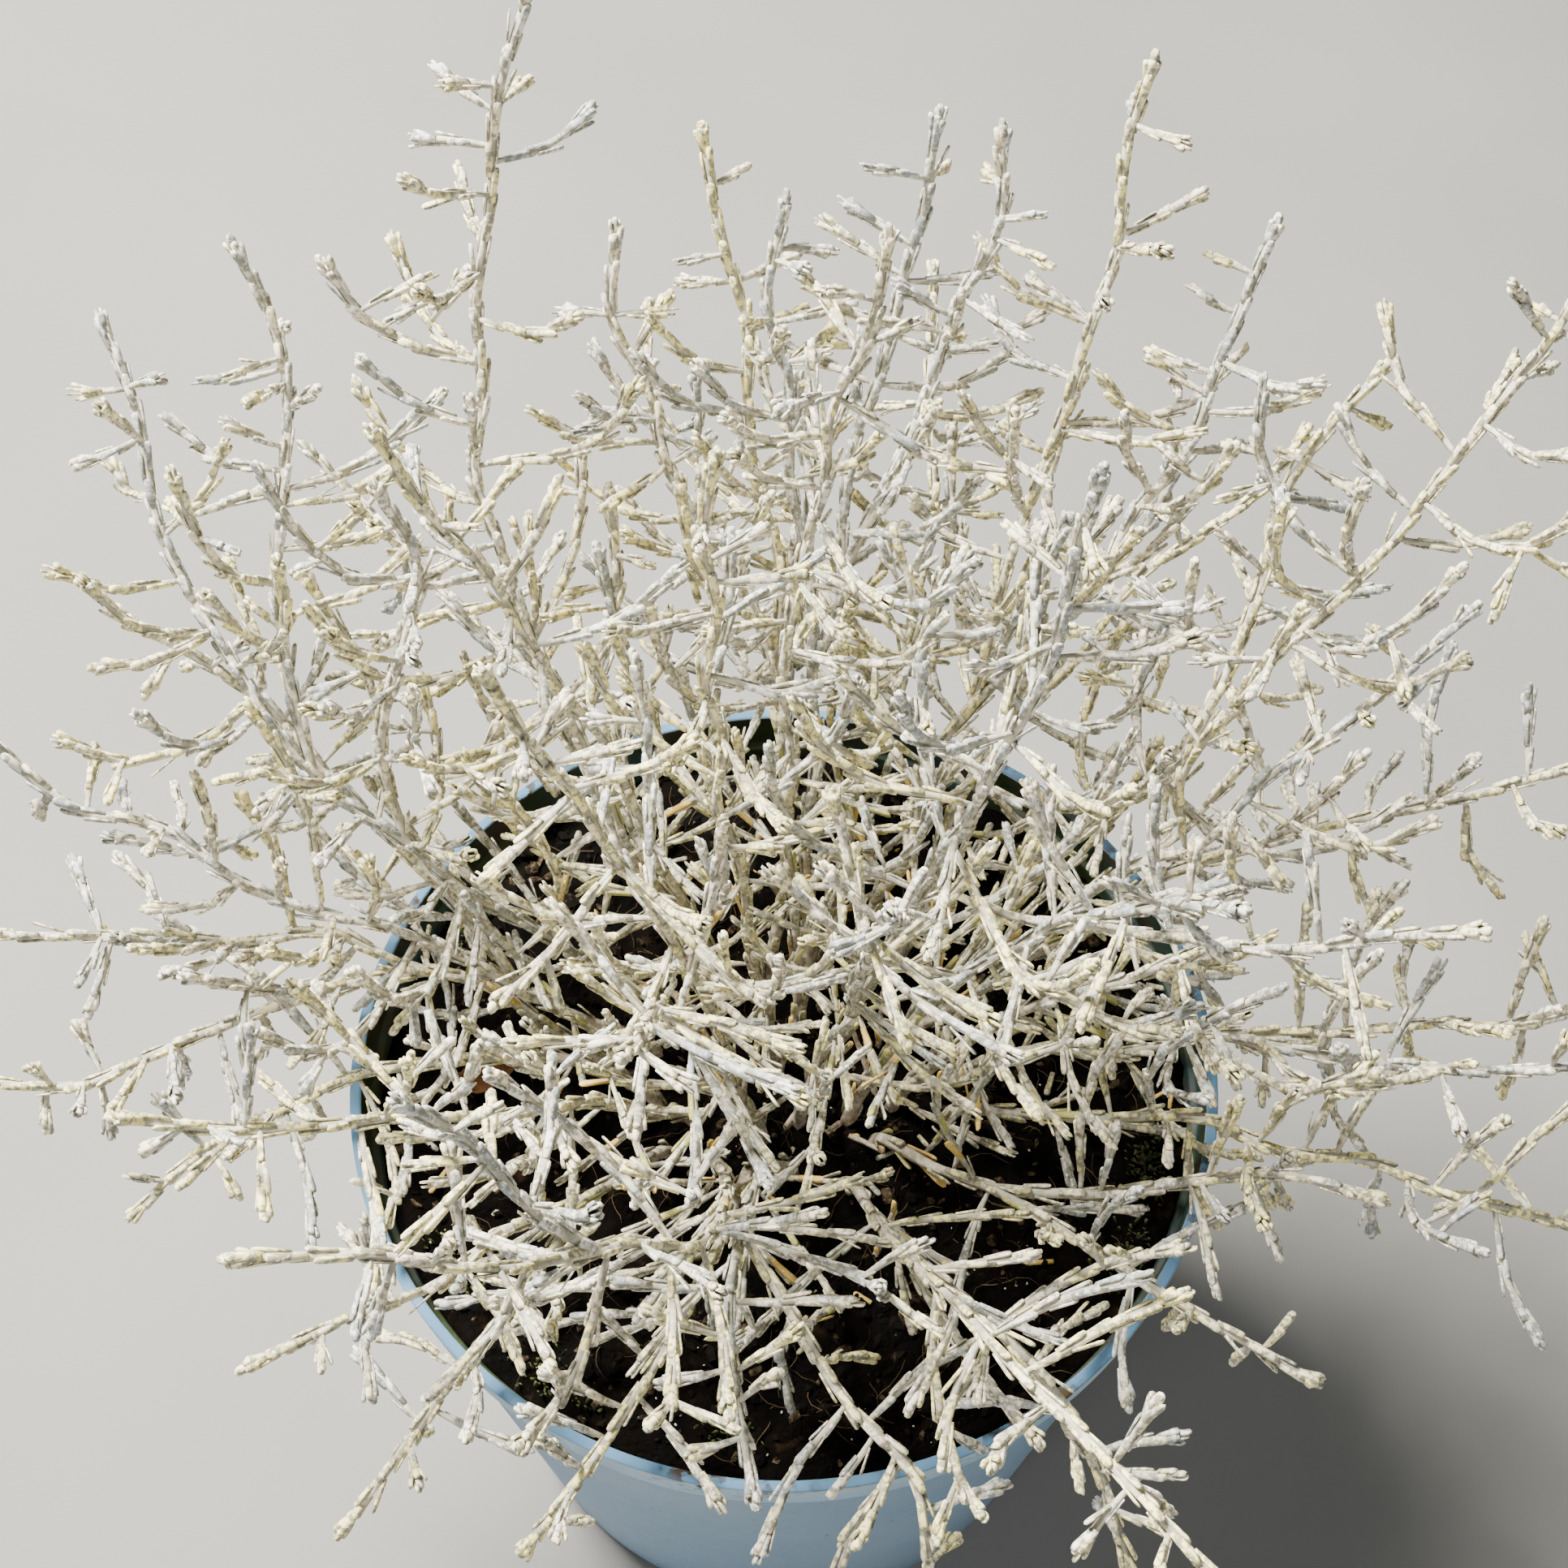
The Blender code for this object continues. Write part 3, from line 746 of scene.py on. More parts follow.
# %% Arch a leader to its tip
STEM_RISE = 0.44
STEM_ARRIVAL = 0.36
STEM_RADIUS = 1.5 * MM
STEM_TIP_RADIUS = 1.1 * MM
STEM_KNOT = 13.5 * MM
STEM_KINK = 1.5 * MM
ARCH_OVER_CHORD = 1.1
CLUB_RADIUS = 1.65 * MM
LEADER_SEED = 1000


def leader_knots(row, start, leaving, turn_by, bow_by):
    """The knots of a leader, along one arch from its start to its tip."""
    azimuth, reach, height, pitch, bow = row[2:]
    azimuth += turn_by
    tip = polar(azimuth, reach * MM, POT_HEIGHT + height * MM)
    outward = polar(azimuth, 1, 0)
    sideways = UP.cross(outward)
    span = (tip - start).length
    slope = math.radians(pitch)
    arriving = outward * math.cos(slope) + UP * math.sin(slope)
    aside = sideways * (bow + bow_by) * MM
    first = start + leaving * span * STEM_RISE + aside
    second = tip - arriving * span * STEM_ARRIVAL + aside
    count = max(3, round(span * ARCH_OVER_CHORD / STEM_KNOT))
    rng = random.Random(LEADER_SEED * row[0] + row[2])
    knots = [(start, STEM_RADIUS)]
    for k in range(1, count + 1):
        t = k / count
        point = (
            start * (1 - t) ** 3 + first * 3 * t * (1 - t) ** 2
            + second * 3 * t * t * (1 - t) + tip * t ** 3
        )
        kink = sideways * rng.uniform(-1, 1) + outward.cross(sideways) * rng.uniform(-1, 1)
        radius = STEM_RADIUS + (STEM_TIP_RADIUS - STEM_RADIUS) * t
        knots.append((point + kink * STEM_KINK, radius))
    knots[-1] = (tip, CLUB_RADIUS)
    return knots


first = leader_knots(LEADERS[0], roots[1], UP, 0, 0)
print("the first leader:", len(first), "knots,", round(1000 * path_length(first)), "mm")

# %% [markdown]
# Each stem's first leader comes straight up out of its hole, and the others fork off it. Where a
# leader's way is taken, it is swung or bowed aside until it is clear, by the least that will do.

# %% Grow the leaders
STEM_DEPTH = 25 * MM
STEM_COLLAR = 3 * MM
STEM_LEAN_MOST = 0.9
STEM_LEAN_SHARE = 0.5
STEM_LEAN_HEIGHT = 45
ROOT_OWN_REACH = 2 * MM
FORK_OWN_REACH = 18 * MM
LEADER_TURNS = range(-12, 13, 3)
LEADER_BOWS = range(-16, 17, 8)


def first_leader(row, root, turn_by, bow_by):
    """A stem's first leader: straight up out of its hole, and then out to its tip."""
    azimuth, reach, height = row[2:5]
    outward = polar(azimuth + turn_by, 1, 0)
    lean = min(STEM_LEAN_MOST, STEM_LEAN_SHARE * reach / (height + STEM_LEAN_HEIGHT))
    leaving = (UP + outward * lean).normalized()
    above = leader_knots(row, root + UP * STEM_COLLAR, leaving, turn_by, bow_by)
    return [(root - UP * STEM_DEPTH, STEM_RADIUS)] + above


def fork_leader(row, parent, turn_by, bow_by):
    """A leader that forks off its stem's first one."""
    start, axis = along(parent, row[1] * path_length(parent))
    tip = polar(row[2] + turn_by, row[3] * MM, POT_HEIGHT + row[4] * MM)
    leaving = (axis + (tip - start).normalized()).normalized()
    return leader_knots(row, start, leaving, turn_by, bow_by)


def grow_leaders(thicket, roots):
    """The leaders of each stem, each swung or bowed aside a little where its way isn't clear."""
    plant = {}
    swings = sorted(
        itertools.product(LEADER_TURNS, LEADER_BOWS),
        key=lambda swing: abs(swing[0]) + abs(swing[1]) / 2,
    )
    for row in LEADERS:
        stem, fork_at = row[:2]
        for turn_by, bow_by in swings:
            if fork_at:
                knots = fork_leader(row, plant[stem][0], turn_by, bow_by)
                clear = thicket.is_clear(knots, stem, FORK_OWN_REACH)
            else:
                knots = first_leader(row, roots[stem], turn_by, bow_by)
                clear = thicket.is_clear(knots[1:], stem, ROOT_OWN_REACH)
            if clear:
                break
        else:
            print("no clear way for the leader", row)
            if fork_at:
                continue
        thicket.add(knots, stem)
        plant.setdefault(stem, []).append(knots)
    return plant


plant = grow_leaders(thicket, roots)
print("leaders grown:", sum(len(paths) for paths in plant.values()))

# %% [markdown]
# Side shoots leave a leader in a spiral, each about 137 degrees round from the last, which is
# how most plants keep their shoots out of each other's light. They leave at a wide angle, then
# curve up.

# %% Curve a side shoot
NECK = 2.6 * MM
SHOOT_KNOT = 9.5 * MM
SHOOT_RISE = 0.25
SHOOT_JITTER = 0.12
SHOOT_LEAST = 9 * MM
TWIGLET_CLUB = 1.35


def shoot_knots(rng, start, heading, axis, length, radius):
    """The knots of a side shoot that leaves along its heading and then curves more and more,
    upwards and the way its parent grows. It starts as a point inside its parent and fills out
    over its neck."""
    count = max(1, round(length / SHOOT_KNOT))
    knots = [(start, 0), (start + heading * NECK, radius)]
    for k in range(count):
        jitter = Vector((rng.uniform(-1, 1), rng.uniform(-1, 1), rng.uniform(-1, 1)))
        bend = (UP + axis) * (SHOOT_RISE * k)
        heading = (heading + bend + jitter * SHOOT_JITTER).normalized()
        knots.append((knots[-1][0] + heading * (length - NECK) / count, radius))
    knots[-1] = (knots[-1][0], CLUB_RADIUS if length > SHOOT_LEAST else radius * TWIGLET_CLUB)
    return knots


def side_heading(axis, turn, angle):
    """A heading at this angle from the axis, turned round it."""
    across = axis.orthogonal().normalized()
    across.rotate(Matrix.Rotation(turn, 3, axis))
    slope = math.radians(angle)
    return (axis * math.cos(slope) + across * math.sin(slope)).normalized()


square = side_heading(UP, 0, 90)
print("a shoot square to an upright leader heads", [round(part, 2) for part in square])

# %% [markdown]
# A shoot that doesn't find room is tried again, a turn further round and a little shorter, and
# given up after a few tries. So the bush is open where twigs are crowded, as a real one is.

# %% Find room for a side shoot
GOLDEN_ANGLE = math.radians(137.5)
SHOOT_ANGLE = 84
SHOOT_ANGLE_VARIES = 14
SHOOT_TRIES = 6
SHOOT_SHORTENS = 0.12
SHOOT_OWN_REACH = 6 * MM


def grow_shoot(thicket, rng, owner, parent, distance, turn, length, radius):
    """A list with the side shoot that found room, tried at a few turns and lengths, or empty."""
    start, axis = along(parent, distance)
    for attempt in range(SHOOT_TRIES):
        angle = SHOOT_ANGLE + rng.uniform(-SHOOT_ANGLE_VARIES, SHOOT_ANGLE_VARIES)
        heading = side_heading(axis, turn + attempt * GOLDEN_ANGLE, angle)
        tried = length * (1 - SHOOT_SHORTENS * attempt)
        knots = shoot_knots(rng, start, heading, axis, tried, radius)
        if thicket.is_clear(knots, owner, SHOOT_OWN_REACH):
            thicket.add(knots, owner)
            return [knots]
    return []


print("a shoot is tried", SHOOT_TRIES, "times")

# %% [markdown]
# Shoots grow shorter towards a leader's tip, and the longer ones carry one twiglet. This cell
# repeats the plain model's shoots.

# %% Grow the side shoots
SHOOT_RADIUS = 1.2 * MM
TWIGLET_RADIUS = 1.0 * MM
BARE_START = 24 * MM
FORK_BARE_START = 14 * MM
SHOOT_SPACING = 12.8 * MM
SHOOT_SHIFT = 2
SHOOT_MOST = 45 * MM
SHOOT_TAPER = 0.5
SHOOT_EXTRA = 4 * MM
SHOOT_VARIES = (0.75, 1.15)
TWIGLET_FROM = 27 * MM
TWIGLET_LENGTH = 7.5 * MM
TWIGLET_SEATS = (0.5, 0.75)


def grow_shoots(thicket, plant):
    """Add the side shoots and twiglets of every stem to its paths."""
    for stem, paths in plant.items():
        rng = random.Random(stem)
        for number, leader in enumerate(list(paths)):
            buried = STEM_DEPTH + BARE_START if number == 0 else FORK_BARE_START
            length = path_length(leader)
            count = round((length - buried - SHOOT_SPACING / 2) / SHOOT_SPACING)
            turn = rng.uniform(0, 2 * math.pi)
            for k in range(count):
                shift = rng.uniform(-SHOOT_SHIFT, SHOOT_SHIFT) * MM
                distance = buried + k * SHOOT_SPACING + shift
                turn += GOLDEN_ANGLE
                wanted = min(SHOOT_MOST, (length - distance) * SHOOT_TAPER + SHOOT_EXTRA)
                wanted *= rng.uniform(*SHOOT_VARIES)
                paths += grow_shoot(
                    thicket, rng, stem, leader, distance, turn, wanted, SHOOT_RADIUS
                )
        for shoot in paths[1:]:
            shoot_length = path_length(shoot)
            if shoot_length < TWIGLET_FROM:
                continue
            distance = shoot_length * rng.uniform(*TWIGLET_SEATS)
            turn = rng.uniform(0, 2 * math.pi)
            paths += grow_shoot(
                thicket, rng, stem, shoot, distance, turn, TWIGLET_LENGTH, TWIGLET_RADIUS
            )


grow_shoots(thicket, plant)
print("twigs as in the plain model:", sum(len(paths) for paths in plant.values()))

# %% [markdown]
# ## The twigs between
#
# The real bush is denser than the plain model: its middle is a tangle of short twigs. Because
# the thicket knows what room is left, more can be grown into it. Shoots fill the gaps along each
# leader, two short spurs go near its tip, and each longer shoot gets one more twiglet on its
# outer half, as on the plant.

# %% Grow the finer twigs
FILL_SEED = 500
FILL_SPACING = 7 * MM
FILL_START = 12 * MM
FILL_LENGTH = (12, 34)
FILL_TAPER = 0.6
SPUR_LENGTH = (3.5, 9)
SPUR_SPACING = 22 * MM
SPUR_START = 0.45
SPUR_END = 3 * MM
PLACE_VARIES = (0.2, 0.8)
TIP_SPURS = 2
TIP_SPUR_LENGTH = (4, 8)
TIP_SPUR_BACK = (4, 16)


def grow_fill(thicket, stem, paths, rng):
    """Extra shoots and spurs along a stem's leaders, and twiglets on its longer shoots."""
    leaders = [path for path in paths if path[0][1]]
    shoots = [path for path in paths if not path[0][1]]
    for leader in leaders:
        length = path_length(leader)
        start = STEM_DEPTH + FILL_START if leader is paths[0] else FILL_START
        turn = rng.uniform(0, 2 * math.pi)
        for k in range(int((length - start) / FILL_SPACING)):
            distance = start + (k + rng.uniform(*PLACE_VARIES)) * FILL_SPACING
            turn += GOLDEN_ANGLE
            wanted = min(rng.uniform(*FILL_LENGTH) * MM, (length - distance) * FILL_TAPER)
            if wanted < SHOOT_LEAST:
                break
            found = grow_shoot(thicket, rng, stem, leader, distance, turn, wanted, SHOOT_RADIUS)
            shoots += found
            paths += found
        for _ in range(TIP_SPURS):
            distance = length - rng.uniform(*TIP_SPUR_BACK) * MM
            turn += GOLDEN_ANGLE
            wanted = rng.uniform(*TIP_SPUR_LENGTH) * MM
            paths += grow_shoot(thicket, rng, stem, leader, distance, turn, wanted, TWIGLET_RADIUS)
    for shoot in shoots:
        length = path_length(shoot)
        turn = rng.uniform(0, 2 * math.pi)
        for k in range(round(length * (1 - SPUR_START) / SPUR_SPACING)):
            distance = length * SPUR_START + (k + rng.uniform(*PLACE_VARIES)) * SPUR_SPACING
            if distance > length - SPUR_END:
                break
            turn += GOLDEN_ANGLE
            wanted = rng.uniform(*SPUR_LENGTH) * MM
            paths += grow_shoot(thicket, rng, stem, shoot, distance, turn, wanted, TWIGLET_RADIUS)


plain_twigs = sum(len(paths) for paths in plant.values())
for stem, paths in plant.items():
    grow_fill(thicket, stem, paths, random.Random(FILL_SEED + stem))
all_twigs = sum(len(paths) for paths in plant.values())
twig_metres = sum(path_length(path) for paths in plant.values() for path in paths)
print("twigs:", plain_twigs, "plain,", all_twigs, "in all,", round(twig_metres, 1), "m of them")

# %% [markdown]
# ## Scale leaves
#
# Each twig is hidden under leaves like long blunt scales, 3 to 5 mm long and a little over 1 mm
# wide, pressed to it so that only the ends stand out. One leaf is modelled once, as a closed form
# with a rounded back and a blunt tip. All copies are made from it by arithmetic on arrays,
# because adding thousands of leaves one by one would be much slower.

# %% Shape one leaf
LEAF_SECTIONS = (
    # how far along, width and thickness as shares of the leaf's own
    (0.0, 0.72, 0.7),
    (0.80, 1.0, 1.0),
    (0.95, 0.74, 0.75),
)
LEAF_SHOULDER = 0.30
LEAF_TIP = (1, 0, -0.15)
LEAF_TIP_EDGE = 0.7


def leaf_shape():
    """Points and triangles of a leaf of length, width and thickness 1, along X, back to +Z."""
    points = []
    for place, width, thickness in LEAF_SECTIONS:
        points.append((place, -width / 2, -0.5))
        points.append((place, -width * LEAF_SHOULDER, 0.5 * thickness))
        points.append((place, width * LEAF_SHOULDER, 0.5 * thickness))
        points.append((place, width / 2, -0.5))
    points.append(LEAF_TIP)
    tip = len(points) - 1
    triangles = [(0, 1, 2), (0, 2, 3)]
    for section in range(len(LEAF_SECTIONS) - 1):
        for side in range(4):
            low, next_low = 4 * section + side, 4 * section + (side + 1) % 4
            triangles.append((low, low + 4, next_low + 4))
            triangles.append((low, next_low + 4, next_low))
    for side in range(4):
        triangles.append((tip - 4 + side, tip, tip - 4 + (side + 1) % 4))
    return np.array(points), np.array(triangles)


leaf_points, leaf_triangles = leaf_shape()
leaf_edge = np.array([1.0, 0.0, 0.0, 1.0] * len(LEAF_SECTIONS) + [LEAF_TIP_EDGE])
print("one leaf:", len(leaf_points), "points,", len(leaf_triangles), "triangles")

# %% [markdown]
# A leaf is placed by a point on the twig, the way it lies and the way its back faces. Its flare
# bends its end away from the twig. Four numbers go with each point for the finish: the leaf's
# tone, its age and painted shade, how far along the leaf the point is, and how near the point is
# to its edge.

# %% Copy leaves by arithmetic
def leaves_of(rows):
    """Points, triangles and point values of many leaves, one for each row of numbers."""
    rows = np.array(rows)
    seat, along_leaf, back = rows[:, 0:3], rows[:, 3:6], rows[:, 6:9]
    length, width, thickness, flare, tone, age_and_shade = (rows[:, 9 + k, None] for k in range(6))
    across = np.cross(back, along_leaf)
    x, y, z = leaf_points.T
    spots = seat[:, None] + (length * x)[..., None] * along_leaf[:, None]
    spots = spots + (width * y)[..., None] * across[:, None]
    spots = spots + (thickness * z + flare * length * x * x)[..., None] * back[:, None]
    values = {"tone": tone, "age_and_shade": age_and_shade, "tip": x, "edge": leaf_edge}
    shape = (len(rows), len(x))
    values = {key: np.broadcast_to(value, shape).ravel() for key, value in values.items()}
    return spots.reshape(-1, 3), copied(leaf_triangles, len(x), len(rows)), values


def copied(triangles, point_count, count):
    """The triangles of this many copies of a form, whose points follow each other."""
    copies = triangles[None] + point_count * np.arange(count)[:, None, None]
    return copies.reshape(-1, 3)


print("a leaf takes a row of 15 numbers")

# %% [markdown]
# A part is a set of points and triangles with its point values and the number of its finish.
# Many parts make one piece. Its mesh is filled from whole arrays at once, which is far quicker
# than face by face.

# %% Make a piece of many parts
def piece_of(name, parts, finishes, smooth=True):
    """One object of several parts: points, triangles, point values and finish number."""
    points = np.concatenate([part[0] for part in parts])
    starts = np.cumsum([0] + [len(part[0]) for part in parts[:-1]])
    triangles = np.concatenate([part[1] + start for part, start in zip(parts, starts)])
    mesh = bpy.data.meshes.new(name)
    mesh.vertices.add(len(points))
    mesh.vertices.foreach_set("co", points.ravel())
    mesh.loops.add(3 * len(triangles))
    mesh.loops.foreach_set("vertex_index", triangles.ravel())
    mesh.polygons.add(len(triangles))
    mesh.polygons.foreach_set("loop_start", 3 * np.arange(len(triangles)))
    numbers = np.concatenate([np.full(len(part[1]), part[3]) for part in parts])
    mesh.polygons.foreach_set("material_index", numbers)
    for value in parts[0][2]:
        stored = mesh.attributes.new(value, "FLOAT", "POINT")
        stored.data.foreach_set("value", np.concatenate([part[2][value] for part in parts]))
    mesh.update(calc_edges=True)
    if smooth:
        mesh.shade_smooth()
    else:
        mesh.shade_flat()
    return put_up(mesh, finishes)


print("pieces of parts can be made")

# %% [markdown]
# ## Cores
#
# Under its leaves a twig is a thin round stalk. It follows a smooth curve through the same
# knots as the plain twig. Even steps along that curve give both the rings of the stalk and the
# seats of the leaves.

# %% Smooth a path
CURVE_STEPS = 6


def smooth_path(knots, step):
    """Evenly spaced points on a smooth curve through the knots of a path."""
    spots = np.array([spot for spot, _ in knots])
    chords = np.diff(spots, axis=0)
    lengths = np.linalg.norm(chords, axis=1)[:, None]
    pulls = chords / lengths
    slopes = (pulls[:-1] * lengths[1:] + pulls[1:] * lengths[:-1]) / (lengths[:-1] + lengths[1:])
    slopes = np.concatenate([pulls[:1], slopes, pulls[-1:]])
    t = np.linspace(0, 1, CURVE_STEPS, endpoint=False)[:, None]
    ease_on, leave, arrive = 3 * t ** 2 - 2 * t ** 3, t ** 3 - 2 * t ** 2 + t, t ** 3 - t ** 2
    curve = []
    for k, length in enumerate(lengths):
        bend = (slopes[k] * leave + slopes[k + 1] * arrive) * length
        curve.append(spots[k] + chords[k] * ease_on + bend)
    curve = np.concatenate(curve + [spots[-1:]])
    travelled = np.concatenate([[0], np.cumsum(np.linalg.norm(np.diff(curve, axis=0), axis=1))])
    places = np.linspace(0, travelled[-1], max(3, round(travelled[-1] / step) + 1))
    even = np.stack([np.interp(places, travelled, curve[:, k]) for k in range(3)], axis=1)
    return even, places


print("smoothed by", CURVE_STEPS, "steps from knot to knot")

# %% [markdown]
# A curve object with a bevel could sweep the stalk too, but it has no place for the tone and age
# that the finish reads at each point. So the rings are laid here, and each needs a heading and a
# side. The side is carried from point to point and only turned as the heading turns, so the
# stalk doesn't twist.

# %% Sweep a stalk along a path
STALK_SIDES = 5


def frames_of(spots):
    """The heading at each point of a path, and a side direction that turns as little as it can."""
    headings = np.gradient(spots, axis=0)
    headings /= np.linalg.norm(headings, axis=1, keepdims=True)
    side = np.array(Vector(headings[0]).orthogonal().normalized())
    sides = []
    for heading in headings:
        side = side - heading * (side @ heading)
        side /= np.linalg.norm(side)
        sides.append(side)
    return headings, np.array(sides)


def stalk(spots, radii, tone, ages_and_shade, finish_number, sides=STALK_SIDES):
    """A closed round stalk along the points, as a part for piece_of."""
    headings, across = frames_of(spots)
    over = np.cross(headings, across)
    turn = np.linspace(0, 2 * math.pi, sides, endpoint=False)
    ring = np.cos(turn)[None, :, None] * across[:, None]
    ring = ring + np.sin(turn)[None, :, None] * over[:, None]
    points = (spots[:, None] + ring * np.asarray(radii)[:, None, None]).reshape(-1, 3)
    points = np.concatenate([points, spots[:1], spots[-1:]])
    first, last = len(points) - 2, len(points) - 1
    triangles = []
    for k in range(len(spots) - 1):
        for i in range(sides):
            a, b = k * sides + i, k * sides + (i + 1) % sides
            triangles += [(a, b, b + sides), (a, b + sides, a + sides)]
    top = (len(spots) - 1) * sides
    for i in range(sides):
        triangles.append((first, (i + 1) % sides, i))
        triangles.append((last, top + i, top + (i + 1) % sides))
    values = {
        "tone": np.full(len(points), tone),
        "age_and_shade": np.concatenate([np.repeat(ages_and_shade, sides), ages_and_shade[:1], ages_and_shade[-1:]]),
        "tip": np.zeros(len(points)),
        "edge": np.zeros(len(points)),
    }
    return points, np.array(triangles), values, finish_number


print("stalks have", STALK_SIDES, "sides")

# %% [markdown]
# ## Dressing a twig
#
# Leaves sit in a spiral, one every 1.7 mm. They are small where a shoot starts and full-sized
# towards its end, where the last few stand together as a club of blunt fingers. Twigs deep in
# the shaded middle are thinner. Near the soil a stem is old: its bark shows, and some of its
# leaves have dropped.

# %% Place one leaf
LEAF_WIDTH = 1.34 * MM
LEAF_THICKNESS = 0.35 * MM


def leaf_row(seat, heading, back, length, lean, tone, age_and_shade, size=1.0, flare=0.0, stout=1.0):
    """The row of numbers for one leaf that leans out from its twig by this many degrees."""
    slope = math.radians(lean)
    lies = heading * math.cos(slope) + back * math.sin(slope)
    faces = back * math.cos(slope) - heading * math.sin(slope)
    width, thickness = LEAF_WIDTH * size, LEAF_THICKNESS * size * stout
    return [*seat, *lies, *faces, length, width, thickness, flare, tone, age_and_shade]


print("a leaf is", round(1000 * LEAF_WIDTH, 2), "mm wide")

# %% [markdown]
# How old and how shaded a leaf looks is one number. It is 0 on the outside of the bush and
# rises to 0.8 in the old, shaded middle, where the finish paints shade from it. Just above that it
# marks a leaf that fades to yellow-green, and 1 marks a dead one. The finish reads this number.

# %% Say how old and how shaded each leaf is
SHADED = 0.8
FADED = 0.845
DEAD = 1.0
SHADE_CENTRE = Vector((0, 5, 106)) * MM
SHADE_NEAR = 26 * MM
SHADE_FAR = 78 * MM
SHADE_CURVE = 1.3


def age_and_shade_at(spots):
    """The age and painted shade of a leaf at each of these points."""
    away = np.linalg.norm(spots - np.array(SHADE_CENTRE), axis=1)
    depth = np.clip((SHADE_FAR - away) / (SHADE_FAR - SHADE_NEAR), 0, 1)
    return SHADED * depth ** SHADE_CURVE


print("leaves at the heart have age", age_and_shade_at(np.array([SHADE_CENTRE]))[0])

# %% [markdown]
# A twig is dressed in three steps: its stalk, the spiral of leaves along it, and the club at its
# end, whose leaves are stouter. Most clubs in the light stand open, and most in the shade stay
# shut like buds. Two leaves that stand almost straight up close the end.

# %% Measure a bare twig
LEAF_STEP = 1.7 * MM
STALK_RADIUS = 0.53 * MM
LEADER_RADIUS = 0.82 * MM
LEADER_TAPER = 0.7
OLD_WOOD_RADIUS = 1.15 * MM
OLD_WOOD_LENGTH = 26 * MM
STALK_DEPTH = 2 * MM
SHADE_SLIMS = 0.34
THIN_START = 7 * MM
START_RADIUS = 0.72
START_SIZE = 0.74


def bare_twig(rng, knots):
    """A twig before it has leaves: its path, thickness, ages with painted shade, and leaf sizes."""
    is_leader = knots[0][1] > 0
    in_soil = is_leader and knots[0][0].z < BED_Z
    spots, places = smooth_path(knots, LEAF_STEP)
    if is_leader:
        out_of_soil = spots[:, 2] > BED_Z - STALK_DEPTH
        spots, places = spots[out_of_soil], places[out_of_soil]
    headings, across = frames_of(spots)
    length = places[-1] - places[0]
    gone = (places - places[0]) / length
    ages_and_shade = age_and_shade_at(spots)
    old_wood = np.clip(1 - (places - STEM_DEPTH) / OLD_WOOD_LENGTH, 0, 1) * in_soil
    tone = rng.random()
    if is_leader:
        radii = LEADER_RADIUS + (STALK_RADIUS - LEADER_RADIUS) * gone ** LEADER_TAPER
        radii = radii + (OLD_WOOD_RADIUS - LEADER_RADIUS) * old_wood
        sizes = np.full(len(spots), 1.0)
    else:
        filled = np.clip((places - places[0]) / THIN_START, 0, 1)
        slim = 1 - SHADE_SLIMS * ages_and_shade / SHADED
        radii = STALK_RADIUS * (START_RADIUS + (1 - START_RADIUS) * filled) * slim
        # A leaf slims two thirds as much as its stalk.
        sizes = (START_SIZE + (1 - START_SIZE) * filled) * (1 + 2 * slim) / 3
    return SimpleNamespace(
        is_leader=is_leader, spots=spots, headings=headings, across=across,
        over=np.cross(headings, across), length=length, left=length * (1 - gone),
        ages_and_shade=ages_and_shade, old_wood=old_wood, tone=tone, radii=radii, sizes=sizes,
    )


print("stalks are", round(2000 * STALK_RADIUS, 2), "mm thick")

# %% Lay leaves in a spiral
LEAF_LENGTH = (3.8, 5.1)
LEAF_LIFT = 0.06 * MM
LEAF_PAST_TIP = 1.2 * MM
LEAF_LEAN = (1.5, 5.5)
LEAF_STRAY = 0.06
OLD_WOOD_STRAY = 0.1
STRAY_LEAN = (11, 22)
STRAY_SIZE = 0.8
SPIRAL_VARIES = 0.25
BARE_FROM = 0.3
BARE_SHARE = 0.25
TONE_SPREAD = 0.24
AGE_AND_SHADE_SPREAD = 0.12
FADING_FROM = 0.4
FADING_SHARE = 0.12
DEAD_FROM = 0.45
DEAD_SHARE = 0.055
DEAD_SIZE = 0.85
DEAD_STRETCH = (1.1, 1.7)
DEAD_LEANS = (1, 3, 5, 8, 28)


def way_out(twig, k, turn):
    """The way out from the twig at its point k, at this turn round it."""
    return twig.across[k] * math.cos(turn) + twig.over[k] * math.sin(turn)


